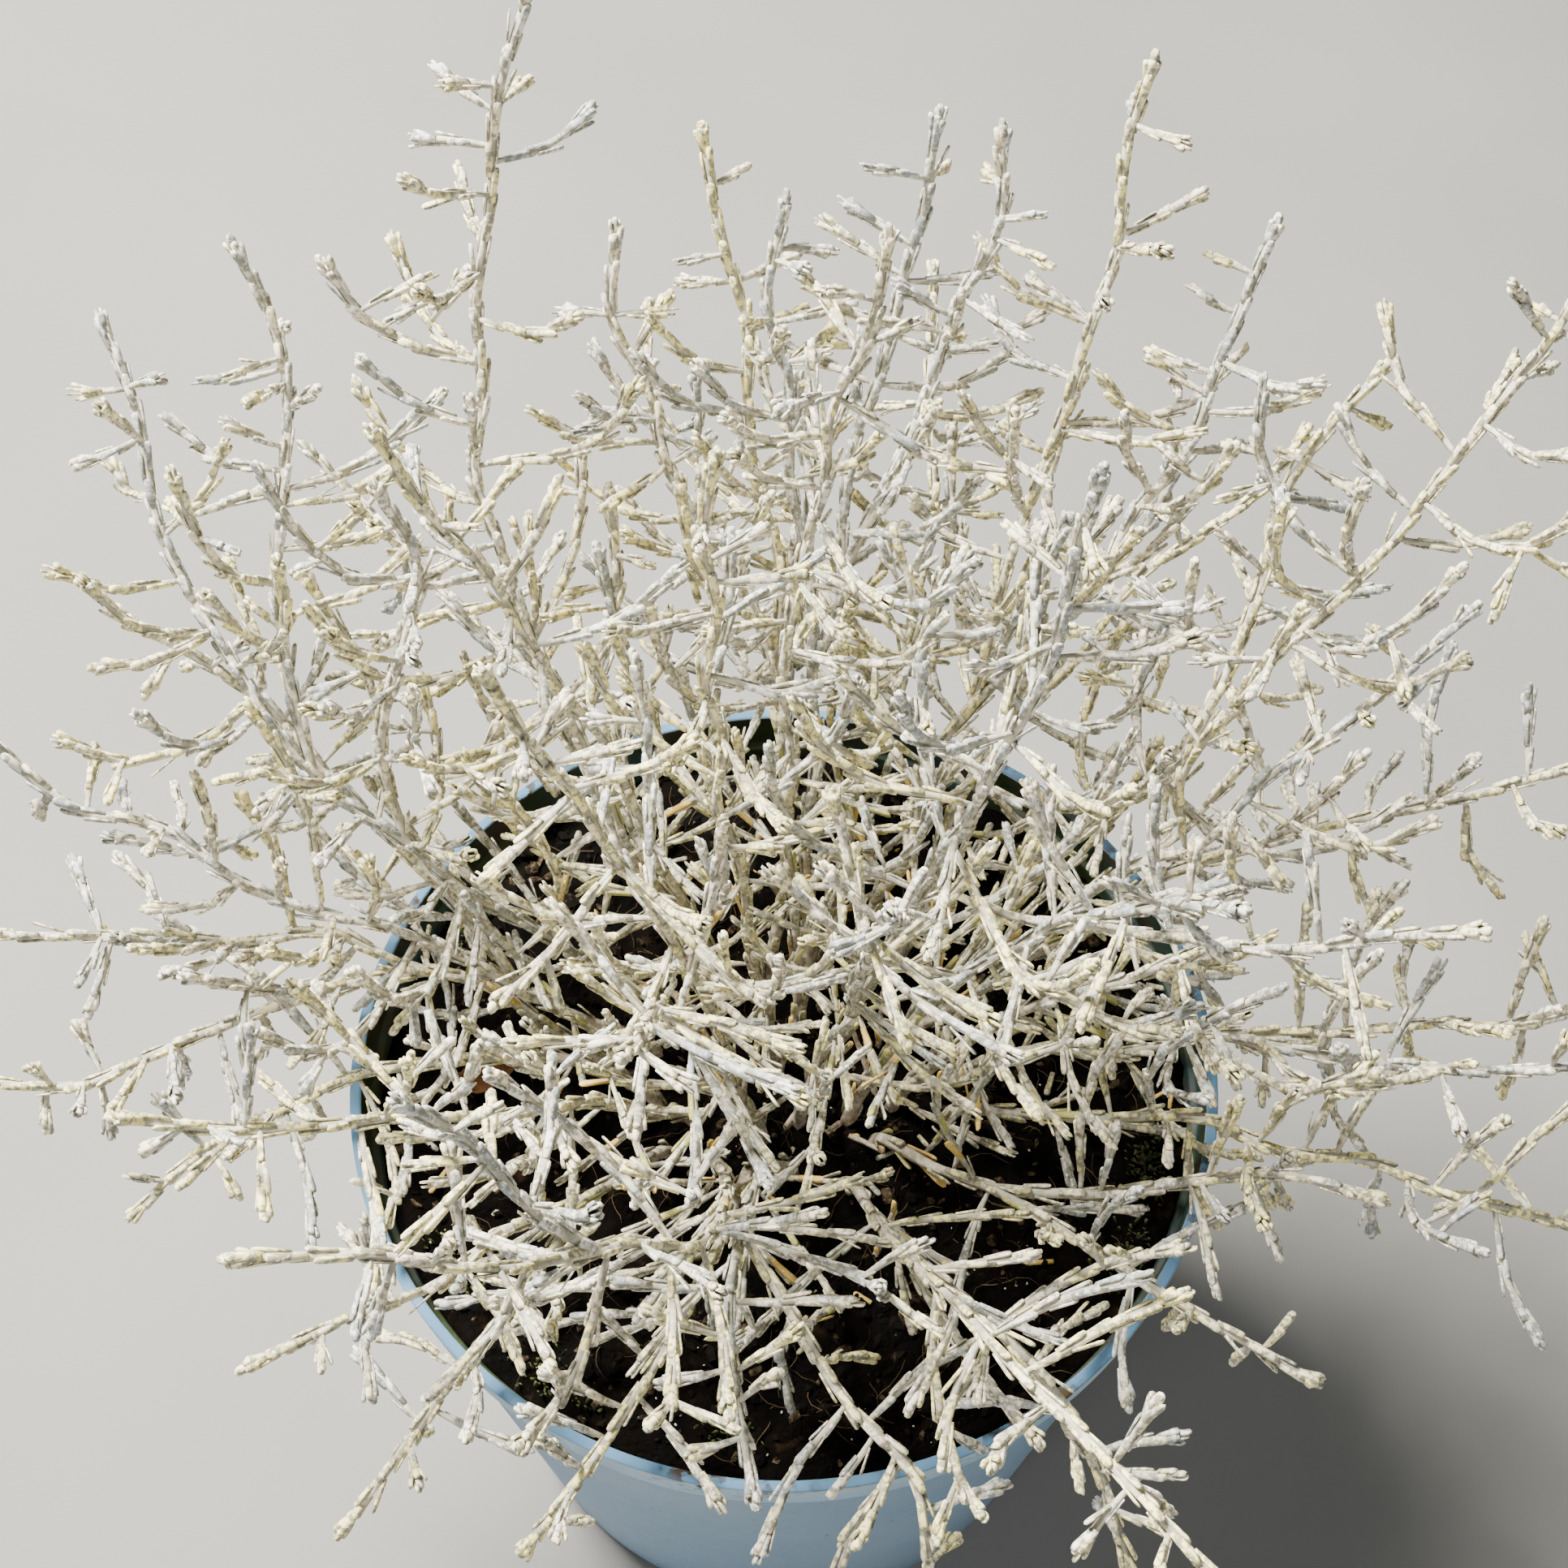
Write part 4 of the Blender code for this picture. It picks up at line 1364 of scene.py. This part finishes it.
def spiral_leaves(rng, twig):
    """Rows for the leaves along a twig, and the turn that the last one stands at."""
    rows = []
    turn = rng.uniform(0, 2 * math.pi)
    for k in range(1, len(twig.spots) - 1):
        old_wood, size = twig.old_wood[k], twig.sizes[k]
        turn += GOLDEN_ANGLE + rng.uniform(-SPIRAL_VARIES, SPIRAL_VARIES)
        if old_wood > BARE_FROM and rng.random() < BARE_SHARE:
            continue
        back = way_out(twig, k, turn)
        lean = rng.uniform(*LEAF_LEAN)
        if rng.random() < LEAF_STRAY + OLD_WOOD_STRAY * old_wood:
            lean, size = rng.uniform(*STRAY_LEAN), twig.sizes[k] * STRAY_SIZE
        length = rng.uniform(*LEAF_LENGTH) * MM * twig.sizes[k]
        length = min(length, twig.left[k] + LEAF_PAST_TIP)
        seat = twig.spots[k] + back * (twig.radii[k] + LEAF_LIFT)
        tone = twig.tone + rng.uniform(-TONE_SPREAD, TONE_SPREAD)
        age_and_shade = max(twig.ages_and_shade[k], old_wood) + rng.uniform(-AGE_AND_SHADE_SPREAD, AGE_AND_SHADE_SPREAD)
        age_and_shade = min(SHADED, age_and_shade)
        if age_and_shade > DEAD_FROM and rng.random() < DEAD_SHARE:
            age_and_shade, size, lean = DEAD, DEAD_SIZE, rng.choice(DEAD_LEANS)
            length *= rng.uniform(*DEAD_STRETCH)
        elif age_and_shade > FADING_FROM and rng.random() < FADING_SHARE:
            age_and_shade = FADED
        rows.append(leaf_row(seat, twig.headings[k], back, length, lean, tone, age_and_shade, size))
    return rows, turn


print("leaves every", round(1000 * LEAF_STEP, 2), "mm")

# %% Close a twig with a club
CLUB_LEAVES = (4, 5)
CLUB_LEAF_LENGTH = (2.6, 3.9)
CLUB_BACK = (0.8, 2.2)
CLUB_INSET = 0.75
CLUB_TONE = (-0.2, 0.3)
CLUB_THICKNESS = 1.6
CLUB_SIZE = 0.88
CLUB_FLARE = -0.02
CLUB_VARIES = 0.15
CLUB_LEAN = (3, 10)
PROUD_CLUB_LEAN = (7, 17)
BUD_LEAN = (-6, -1)
BUD_SHARE = 0.35
LIT_AGE = 0.05
END_LEAF_LENGTH = (3.3, 4.2)
END_LEAF_LEAN = 2


def club_leaves(rng, twig, turn):
    """Rows for the leaves of the club at the end of a twig."""
    rows = []
    seat, heading, radius = twig.spots[-1], twig.headings[-1], twig.radii[-1]
    age_and_shade, size = twig.ages_and_shade[-1], twig.sizes[-1]
    is_open = twig.is_leader or rng.random() > BUD_SHARE + age_and_shade
    lean = CLUB_LEAN if is_open else BUD_LEAN
    if twig.is_leader or (is_open and age_and_shade < LIT_AGE):
        lean = PROUD_CLUB_LEAN
    count = rng.randint(*CLUB_LEAVES) + twig.is_leader
    for _ in range(count):
        turn += 2 * math.pi / count + rng.uniform(-CLUB_VARIES, CLUB_VARIES)
        back = way_out(twig, -1, turn)
        foot = seat - heading * rng.uniform(*CLUB_BACK) * MM + back * CLUB_INSET * radius
        rows.append(leaf_row(
            foot, heading, back, rng.uniform(*CLUB_LEAF_LENGTH) * MM, rng.uniform(*lean),
            twig.tone + rng.uniform(*CLUB_TONE), age_and_shade, CLUB_SIZE * size, CLUB_FLARE, CLUB_THICKNESS,
        ))
    for side in (-1, 1):
        back = twig.across[-1] * side
        foot = seat - heading * MM + back * 0.5 * radius
        length = rng.uniform(*END_LEAF_LENGTH) * MM
        rows.append(leaf_row(foot, heading, back, length, END_LEAF_LEAN, twig.tone, age_and_shade, size))
    return rows


print("a club has {} or {} leaves, and a leader's one more".format(*CLUB_LEAVES))

# %% [markdown]
# ## Felt and bark
#
# The leaves are covered in white felt, too fine to see as hairs. It scatters light softly, so
# the shader is rough, with a little sheen. Tones differ from twig to twig and leaf to leaf: cream,
# silver, rosy beige, lilac white and a cool grey. The felt is thickest along a leaf's edges and
# is rubbed thin in flecks, and other flecks are painted white as highlights. Leaf ends are a
# little browner, and tiny pale glands stand in the felt, painted white as glints. Towards the
# shaded middle olive is painted in, partly as painted shade and partly as the olive under thin
# felt; some leaves fade to yellow-green, and dead ones are straw yellow. Young bark is grey under
# its own felt, and old bark is brown; in the shaded middle the bark is also painted browner as
# shade.

# %% Colours of felt and bark
CREAM = (0.95, 0.84, 0.31)
SILVER = (0.86, 0.79, 0.52)
ROSY_BEIGE = (0.80, 0.68, 0.53)
LILAC_WHITE = (0.80, 0.78, 0.80)
COOL_GREY = (0.35, 0.395, 0.47)
SHADE_OLIVE = (0.28, 0.27, 0.125)
WORN_FELT = (0.23, 0.235, 0.185)
FADING = (0.42, 0.41, 0.10)
THICK_FELT_AND_HIGHLIGHT = (0.98, 0.93, 0.69)
STRAW = (0.76, 0.50, 0.09)
GLAND_AND_GLINT = (0.96, 0.94, 0.84)
TIP_BROWN = (0.62, 0.55, 0.38)
FRESH_TONES = (
    (0.27, COOL_GREY),
    (0.37, LILAC_WHITE),
    (0.45, ROSY_BEIGE),
    (0.54, SILVER),
    (0.67, CREAM),
)
print("fresh felt has", len(FRESH_TONES), "tones")

# %% Mix the felt
def silver_felt():
    finish, tree, shader = new_finish("silver_felt", 0.78)
    tone = average(tree, attribute(tree, "tone"), speckle(tree, 130, 3))
    fresh = ramp(tree, tone, *FRESH_TONES)
    age_and_shade = attribute(tree, "age_and_shade")
    wool_and_highlight = speckle(tree, 1100, 3)
    colour = painted(
        tree,
        fresh,
        # Painted shade: olive is mixed in as the age and shade number rises towards the middle.
        (ramp(tree, age_and_shade, (0.12, 0.0), (0.7, 1.0)), painted(tree, fresh, (0.68, SHADE_OLIVE))),
        (ramp(tree, attribute(tree, "tip"), (0.82, 0.0), (1.0, 0.3)), TIP_BROWN),
        (ramp(tree, attribute(tree, "edge"), (0.3, 0.0), (0.95, 0.45)), THICK_FELT_AND_HIGHLIGHT),
        (ramp(tree, wool_and_highlight, (0.43, 0.9), (0.54, 0.0)), WORN_FELT),
        # Painted highlight: white flecks from the same noise.
        (ramp(tree, wool_and_highlight, (0.56, 0.0), (0.64, 0.5)), THICK_FELT_AND_HIGHLIGHT),
        (ramp(tree, age_and_shade, (0.81, 0.0), (0.83, 0.8), (0.86, 0.8), (0.88, 0.0)), FADING),
        (ramp(tree, age_and_shade, (0.88, 0.0), (0.95, 0.85)), STRAW),
        # Pale glands, painted white as their glints.
        (ramp(tree, speckle(tree, 2100, 2), (0.64, 0.0), (0.67, 0.9)), GLAND_AND_GLINT),
    )
    feed(tree, shader.inputs["Base Color"], colour)
    shader.inputs["Sheen Weight"].default_value = 0.08
    shader.inputs["Sheen Roughness"].default_value = 0.4
    rough_up(tree, shader, speckle(tree, 1800, 4), 0.06 * MM)
    return finish


felt = silver_felt()
print("finish of the leaves:", felt.name)

# %% Mix the bark
YOUNG_BARK = ((0.35, (0.34, 0.33, 0.27)), (0.65, (0.63, 0.60, 0.51)))
OLD_AND_SHADED_BARK = ((0.38, (0.24, 0.18, 0.13)), (0.62, (0.62, 0.53, 0.42)))


def twig_bark():
    finish, tree, shader = new_finish("twig_bark", 0.85)
    streaks = speckle(tree, 700, 4)
    young = ramp(tree, streaks, *YOUNG_BARK)
    old = ramp(tree, streaks, *OLD_AND_SHADED_BARK)
    # Old bark near the soil, and painted shade in the shaded middle, where the number rises.
    age_and_shade = ramp(tree, attribute(tree, "age_and_shade"), (0.5, 0.0), (1.0, 1.0))
    feed(tree, shader.inputs["Base Color"], painted(tree, young, (age_and_shade, old)))
    rough_up(tree, shader, speckle(tree, 1200, 5), 0.25 * MM)
    return finish


bark = twig_bark()
print("finish of the stalks:", bark.name)

# %% [markdown]
# ## The leafy stems
#
# Now every stem is dressed, twig by twig, and all its leaves and stalks become one piece that
# stands for the plain stem.

# %% Build the leafy stems
LEAF_SEED = 900


def dressed(rng, knots):
    """A stalk and rows of leaves for one twig."""
    twig = bare_twig(rng, knots)
    rows, turn = spiral_leaves(rng, twig)
    rows += club_leaves(rng, twig, turn)
    bark_ages_and_shade = np.maximum(twig.ages_and_shade, twig.old_wood)
    return stalk(twig.spots, twig.radii, twig.tone, bark_ages_and_shade, 1), rows


leaf_count = 0
triangle_count = 0
for stem, paths in plant.items():
    rng = random.Random(LEAF_SEED + stem)
    parts, rows = [], []
    for knots in paths:
        stalk_part, leaf_rows = dressed(rng, knots)
        parts.append(stalk_part)
        rows += leaf_rows
    leaf_part = (*leaves_of(rows), 0)
    piece = piece_of(f"leafy_stem_{stem:02d}", [leaf_part] + parts, (felt, bark))
    leaf_count += len(rows)
    triangle_count += len(piece.data.polygons)
    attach(piece, "root")
    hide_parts(f"stem_{stem:02d}")
print("leaves:", leaf_count, "triangles:", triangle_count)

# %% [markdown]
# ## Soil
#
# Potting soil is dark peat with bark in it. Its top is uneven at every scale, so the surface is
# a fine disc whose height adds a slow swell, lumps and a fine crumb. A Displace modifier could
# raise it too, but a formula can also say how high the soil is under each crumb and leaf. The
# body is closed below, because it can be seen through the drain holes.

# %% Lay the soil
SOIL_LUMP = 9 * MM
SOIL_SWELL = 27 * MM
SOIL_GAP = 0.3 * MM
SOIL_SIDES = 240
SOIL_RINGS = 80
CRUMB_RELIEF = 1.2 * MM
CRUMB_SIZE = 2.6 * MM
EDGE_DROP = 0.8 * MM
EDGE_REACH = 4 * MM
WALL_HEIGHTS = (50 * MM, 80 * MM, BED_Z - 3 * MM)


def soil_height(x, y):
    """Top of the soil: a slow swell with lumps on it, and a fine crumb on those."""
    swell = noise.noise(Vector((x, y, 0)) / SOIL_SWELL)
    lumps = noise.noise(Vector((x, y, SOIL_LUMP)) / SOIL_LUMP)
    crumb = noise.fractal(Vector((x, y, 0)) / CRUMB_SIZE, 0.6, 2.1, 4)
    return BED_Z + SOIL_RELIEF * (swell + lumps) + CRUMB_RELIEF * crumb


soil_edge = wall_radius(BED_Z) - WALL - SOIL_GAP
under_z = inner_floor + SOIL_GAP
soil_outline = [(0, POT_FLOOR + SOIL_GAP), (PAD_RADIUS, POT_FLOOR + SOIL_GAP)]
soil_outline += [(pad_edge, under_z), (wall_radius(under_z) - WALL - SOIL_GAP, under_z)]
soil_outline += [(wall_radius(z) - WALL - SOIL_GAP, z) for z in WALL_HEIGHTS]
soil_outline += [(soil_edge * k / SOIL_RINGS, BED_Z) for k in range(SOIL_RINGS, -1, -1)]
soil_mesh = turned(soil_outline, SOIL_SIDES)
for vert in soil_mesh.verts:
    if vert.co.z > BED_Z - MM:
        reach = math.hypot(vert.co.x, vert.co.y)
        drop = EDGE_DROP * max(0, 1 - (soil_edge - reach) / EDGE_REACH)
        vert.co.z = soil_height(vert.co.x, vert.co.y) - drop
print("soil outline:", len(soil_outline), "points")

# %% [markdown]
# Damp peat is dark, and here it is painted almost black, partly as painted shade under the bush.
# One noise picks out the clumps that have dried, which are browner and rougher, and a wider one
# the patches where a thin green film grows. A finer one gives the surface its grit.

# %% Mix the peat
# Painted shade: the black peat is darker than damp peat alone, for the shade under the bush.
BLACK_PEAT_AND_SHADE = (0.0012, 0.0009, 0.0007)
BROWN_PEAT = (0.0045, 0.003, 0.002)
DRY_PEAT = (0.030, 0.020, 0.011)
GREEN_FILM = (0.007, 0.009, 0.003)


def peat():
    finish, tree, shader = new_finish("damp_peat", 0.9)
    clumps = speckle(tree, 240, 6)
    colour = ramp(tree, clumps, (0.45, BLACK_PEAT_AND_SHADE), (0.64, BROWN_PEAT), (0.8, DRY_PEAT))
    green = ramp(tree, speckle(tree, 45, 4), (0.60, 0.0), (0.75, 0.35))
    feed(tree, shader.inputs["Base Color"], painted(tree, colour, (green, GREEN_FILM)))
    feed(tree, shader.inputs["Roughness"], ramp(tree, clumps, (0.3, 0.7), (0.6, 0.95)))
    shader.inputs["Specular IOR Level"].default_value = 0.06
    rough_up(tree, shader, speckle(tree, 1100, 6), 0.6 * MM)
    return finish


soil = show("soil_bed", soil_mesh, peat())
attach(soil, "root")
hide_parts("soil")
print("soil:", len(soil.data.polygons), "faces")

# %% [markdown]
# ## Litter
#
# On the soil lie crumbs of bark and peat, a few white grains, thin brown fibres and fallen scale
# leaves. Dry stubs stand between the stems, and moss grows by the wall. A particle system could
# scatter them, but its copies would be in no mesh. Here each kind is one mesh of its own, with
# every crumb or leaf placed by a seeded draw at the soil's height.

# %% Helpers for litter
def spot_on_soil(rng, edge=0.97):
    """A random place on top of the soil, as likely in one part as in another."""
    reach = soil_edge * edge * math.sqrt(rng.random())
    spot = polar(rng.uniform(0, 360), reach, 0)
    spot.z = soil_height(spot.x, spot.y)
    return spot


def lump_shape():
    """Points and triangles of a rough ball of radius 1."""
    bm = bmesh.new()
    bmesh.ops.create_icosphere(bm, subdivisions=1, radius=1)
    points = np.array([vert.co[:] for vert in bm.verts])
    triangles = np.array([[vert.index for vert in face.verts] for face in bm.faces])
    bm.free()
    return points, triangles


lump_points, lump_triangles = lump_shape()
LUMP_WIDTH = (0.45, 0.9)
LUMP_ROUGH = (0.55, 1.3)
LUMP_TURN = 6.28
LUMP_TILT = 0.35


def lumps(rng, spots, sizes, flatness):
    """Rough lumps at these spots, each stretched and turned its own way, as a part."""
    draw = np.random.default_rng(rng.randint(0, 9999))
    points = []
    for spot, size in zip(spots, sizes):
        stretch = np.array([1, draw.uniform(*LUMP_WIDTH), draw.uniform(*flatness)]) * size
        turn = Matrix.Rotation(draw.uniform(0, LUMP_TURN), 3, "Z")
        turn = turn @ Matrix.Rotation(draw.normal(0, LUMP_TILT), 3, "X")
        rough = lump_points * stretch * draw.uniform(*LUMP_ROUGH, (len(lump_points), 1))
        points.append(rough @ np.array(turn).T + np.array(spot))
    triangles = copied(lump_triangles, len(lump_points), len(points))
    tone = np.repeat(draw.random(len(points)), len(lump_points))
    none = np.zeros(len(tone))
    values = {"tone": tone, "age_and_shade": none, "tip": none, "edge": none}
    return np.concatenate(points), triangles, values, 0


def litter_finish(name, roughness, *stops):
    finish, tree, shader = new_finish(name, roughness)
    grain = speckle(tree, 1300, 4)
    shade = ramp(tree, average(tree, attribute(tree, "tone"), grain), *stops)
    feed(tree, shader.inputs["Base Color"], shade)
    shader.inputs["Specular IOR Level"].default_value = 0.12
    rough_up(tree, shader, grain, 0.2 * MM)
    return finish


def hang(piece):
    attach(piece, "root")
    return piece


print("a lump has", len(lump_triangles), "triangles")

# %% Scatter crumbs and grains
LITTER_SEED = 41
LITTER_LIFT = 0.3 * MM
CRUMBS = 2600
CRUMB_RADII = (0.4, 0.5, 0.7, 0.9, 1.5)
CRUMB_VARIES = (0.7, 1.2)
CRUMB_FLATNESS = (0.3, 0.8)
# The darkest crumb tones are near black, partly as painted shade under the bush.
CRUMB_TONES = (
    (0.35, (0.0015, 0.0011, 0.0008)),
    (0.62, (0.006, 0.004, 0.0025)),
    (0.72, (0.05, 0.034, 0.02)),
    (0.82, (0.15, 0.11, 0.07)),
)
GRAINS = 110
GRAIN_RADIUS = (0.12, 0.3)
GRAIN_FLATNESS = (0.6, 1.0)
GRAIN_TONES = ((0.2, (0.42, 0.40, 0.36)), (0.8, (0.80, 0.78, 0.72)))

rng = random.Random(LITTER_SEED)
spots = [spot_on_soil(rng) for _ in range(CRUMBS)]
radii = [rng.choice(CRUMB_RADII) * rng.uniform(*CRUMB_VARIES) * MM for _ in spots]
crumb_finish = litter_finish("bark_crumb", 0.9, *CRUMB_TONES)
crumbs = lumps(rng, spots, radii, CRUMB_FLATNESS)
hang(piece_of("soil_crumbs", [crumbs], [crumb_finish], smooth=False))

spots = [spot_on_soil(rng) + UP * LITTER_LIFT for _ in range(GRAINS)]
radii = [rng.uniform(*GRAIN_RADIUS) * MM for _ in spots]
grain_finish = litter_finish("white_grain", 0.5, *GRAIN_TONES)
grains = lumps(rng, spots, radii, GRAIN_FLATNESS)
hang(piece_of("white_grains", [grains], [grain_finish]))
print("crumbs:", CRUMBS, "grains:", GRAINS)

# %% [markdown]
# Fibres, dry stubs and fallen leaves reuse the stalk and the leaf from above. A fibre is a
# hair-thin stalk that lies in a curve. A stub is a short dead stalk that stands in the soil, with
# a few dry leaves left on it.

# %% Lay the fibres
FIBRES = 520
FIBRE_LENGTH = (3, 10)
FIBRE_STEPS = 5
FIBRE_WANDERS = 0.6
FIBRE_LIFT = 1.0 * MM
FIBRE_RADII = (0.09, 0.04)
FIBRE_SIDES = 4
FIBRE_TONES = ((0.35, (0.008, 0.005, 0.003)), (0.7, (0.13, 0.09, 0.05)))


def lying_path(rng, spot, length):
    """Points of a strand that wanders over the soil."""
    heading = rng.uniform(0, 2 * math.pi)
    spots = [spot]
    for _ in range(FIBRE_STEPS):
        heading += rng.uniform(-FIBRE_WANDERS, FIBRE_WANDERS)
        step = Vector((math.cos(heading), math.sin(heading), 0)) * length / FIBRE_STEPS
        here = spots[-1] + step
        here.z = soil_height(here.x, here.y) + FIBRE_LIFT * rng.uniform(0, 1)
        spots.append(here)
    return np.array([spot[:] for spot in spots])


fibre_finish = litter_finish("brown_fibre", 0.8, *FIBRE_TONES)
fibres = []
for _ in range(FIBRES):
    path = lying_path(rng, spot_on_soil(rng, 0.93), rng.uniform(*FIBRE_LENGTH) * MM)
    radii = np.linspace(*FIBRE_RADII, len(path)) * MM
    fibres.append(stalk(path, radii, rng.random(), np.zeros(len(path)), 0, FIBRE_SIDES))
hang(piece_of("soil_fibres", fibres, [fibre_finish]))
print("fibres:", len(fibres))

# %% Stand the dry stubs
STUBS = 14
STUB_REACH = (2, 34)
STUB_DEPTH = 3 * MM
STUB_HEIGHT = (9, 22)
STUB_LEAN = 0.7
STUB_DROOP = 0.4
DROOP_SHARE = (0, 0.25)
STUB_STEPS = 8
STUB_RADII = (0.62, 0.34)
DRY_LEAF_SHARE = 0.6
DRY_LEAF_LENGTH = (2, 3.4)
DRY_LEAF_LEAN = (4, 20)
# 0.7 paints shade on the dry leaves of the stubs.
DRY_LEAF_AGES_AND_SHADE = (0.7, FADED, DEAD, DEAD)
DRY_LEAF_SIZE = 0.75

stubs, dry_leaves = [], []
for _ in range(STUBS):
    foot = polar(rng.uniform(0, 360), rng.uniform(*STUB_REACH) * MM, BED_Z - STUB_DEPTH)
    aside, ahead = rng.uniform(-STUB_LEAN, STUB_LEAN), rng.uniform(-STUB_LEAN, STUB_LEAN)
    lean = Vector((aside, ahead, 1)).normalized()
    droop = Vector((lean.x, lean.y, -STUB_DROOP)) * rng.uniform(*DROOP_SHARE)
    height = rng.uniform(*STUB_HEIGHT) * MM
    path = []
    for k in range(STUB_STEPS + 1):
        path.append(foot + (lean + droop * k / STUB_STEPS) * height * k / STUB_STEPS)
    path = np.array([spot[:] for spot in path])
    radii = np.linspace(*STUB_RADII, len(path)) * MM
    stubs.append(stalk(path, radii, rng.random(), np.ones(len(path)), 1))
    headings, across = frames_of(path)
    for k in range(2, STUB_STEPS):
        if rng.random() < DRY_LEAF_SHARE:
            back = across[k] * rng.choice((-1, 1))
            dry_leaves.append(leaf_row(
                path[k], headings[k], back, rng.uniform(*DRY_LEAF_LENGTH) * MM,
                rng.uniform(*DRY_LEAF_LEAN), rng.random(), rng.choice(DRY_LEAF_AGES_AND_SHADE), DRY_LEAF_SIZE,
            ))
hang(piece_of("dry_stubs", [(*leaves_of(dry_leaves), 0)] + stubs, (felt, bark)))
print("stubs:", len(stubs), "with", len(dry_leaves), "dry leaves")

# %% Drop the fallen leaves
FALLEN_LEAVES = 75
FALLEN_LENGTH = (2.4, 4.6)
FALLEN_TILT = (-0.15, 0.2)
# Most fallen leaves get the shaded number, which paints shade on them under the bush.
FALLEN_AGES_AND_SHADE = (0.5, SHADED, SHADED, DEAD)
FALLEN_SIZE = (0.5, 0.8)

fallen = []
for _ in range(FALLEN_LEAVES):
    spot = spot_on_soil(rng) + UP * LITTER_LIFT
    turn = rng.uniform(0, 2 * math.pi)
    heading = np.array([math.cos(turn), math.sin(turn), rng.uniform(*FALLEN_TILT)])
    heading /= np.linalg.norm(heading)
    back = np.array(UP) - heading * heading[2]
    back /= np.linalg.norm(back)
    fallen.append(leaf_row(
        np.array(spot[:]), heading, back, rng.uniform(*FALLEN_LENGTH) * MM, 0,
        rng.random(), rng.choice(FALLEN_AGES_AND_SHADE), rng.uniform(*FALLEN_SIZE),
    ))
hang(piece_of("fallen_leaves", [(*leaves_of(fallen), 0)], [felt]))
print("fallen leaves:", len(fallen))

# %% [markdown]
# Moss grows where the soil meets the wall and stays damp. It is made of the same leaf form, very
# small, standing up in tufts.

# %% Grow moss
MOSS_TUFTS = (
    # azimuth in degrees, reach in millimetres, width in degrees
    (-14, 56, 9),
    (-28, 57, 5),
    (212, 56, 7),
    (236, 57, 6),
    (262, 55, 4),
    (150, 57, 6),
    (40, 56, 5),
)
MOSS_FILL = 16
MOSS_SPREAD = 0.5
MOSS_STRAYS = 1.3
MOSS_DEPTH = 0.2 * MM
MOSS_OFF_WALL = 0.6 * MM
MOSS_LEAF_LENGTH = (0.9, 2.0)
MOSS_LEAF_SIZE = 0.42
MOSS_TONES = ((0.1, (0.020, 0.032, 0.008)), (0.9, (0.085, 0.105, 0.022)))

moss_green, tree, shader = new_finish("moss_green", 0.8)
green = ramp(tree, attribute(tree, "tone"), *MOSS_TONES)
feed(tree, shader.inputs["Base Color"], green)
moss = []
for azimuth, reach, width in MOSS_TUFTS:
    for _ in range(MOSS_FILL * width):
        aside = rng.gauss(0, width * MOSS_SPREAD)
        spot = polar(azimuth + aside, (reach + rng.gauss(0, MOSS_STRAYS)) * MM, 0)
        if math.hypot(spot.x, spot.y) > soil_edge - MOSS_OFF_WALL:
            continue
        spot.z = soil_height(spot.x, spot.y) - MOSS_DEPTH
        heading = Vector((rng.gauss(0, MOSS_SPREAD), rng.gauss(0, MOSS_SPREAD), 1)).normalized()
        back = np.array(heading.orthogonal().normalized())
        length = rng.uniform(*MOSS_LEAF_LENGTH) * MM
        heading = np.array(heading)
        tone = rng.random()
        moss.append(leaf_row(np.array(spot[:]), heading, back, length, 0, tone, 0, MOSS_LEAF_SIZE))
hang(piece_of("moss", [(*leaves_of(moss), 0)], [moss_green]))
print("moss leaves:", len(moss))

# %% [markdown]
# One larger dead leaf has blown in and curled up: a flat blade bent along both its ways. A
# Solidify modifier gives it a thickness.

# %% Lay the dead leaf
CURL_SPOT = Vector((-45, 1, 0)) * MM
CURL_LIFT = 0.6 * MM
CURL_BEND = 4.2
CURL_REACH = 4.0 * MM
CURL_RISE = 2.25 * MM
CURL_TURN = 0.7
BLADE_WIDTH = 5.4 * MM
BLADE_ROUND = 0.7
BLADE_CUP = 9 * MM
BLADE_THICKNESS = 0.25 * MM
BLADE_TONES = ((0.2, (0.10, 0.045, 0.018)), (0.8, (0.26, 0.13, 0.05)))

curl = bmesh.new()
bmesh.ops.create_grid(curl, x_segments=24, y_segments=12, size=0.5)
for vert in curl.verts:
    x, y = vert.co.x, vert.co.y
    width = BLADE_WIDTH * math.cos(math.pi * x) ** BLADE_ROUND if abs(x) < 0.5 else 0
    bend = CURL_BEND * x
    vert.co.x = CURL_REACH * math.sin(bend)
    vert.co.z = CURL_RISE * (1 - math.cos(bend)) + BLADE_CUP * y * y * (1 - 2 * abs(x))
    vert.co.y = y * width
lies_at = CURL_SPOT + UP * (soil_height(CURL_SPOT.x, CURL_SPOT.y) + CURL_LIFT)
bmesh.ops.rotate(curl, verts=curl.verts, matrix=Matrix.Rotation(CURL_TURN, 3, "Z"))
bmesh.ops.translate(curl, verts=curl.verts, vec=lies_at)
dead_leaf = show("dead_leaf", curl, litter_finish("dead_brown", 0.6, *BLADE_TONES))
thick = dead_leaf.modifiers.new("thickness", "SOLIDIFY")
thick.thickness = BLADE_THICKNESS
hang(dead_leaf)
print("dead leaf:", len(dead_leaf.data.polygons), "faces")

# %% [markdown]
# ## Measure
#
# Last, the finished plant is measured against the plain one, and how far it reaches past it on
# each side is printed, to show that the finish adds no more than a leaf's length on any side.

# %% Measure and finish
fine_low, fine_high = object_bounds()
growth = (*(fine_low - plain_low), *(fine_high - plain_high))
print("grown by, in mm:", [round(1000 * side, 1) for side in growth])
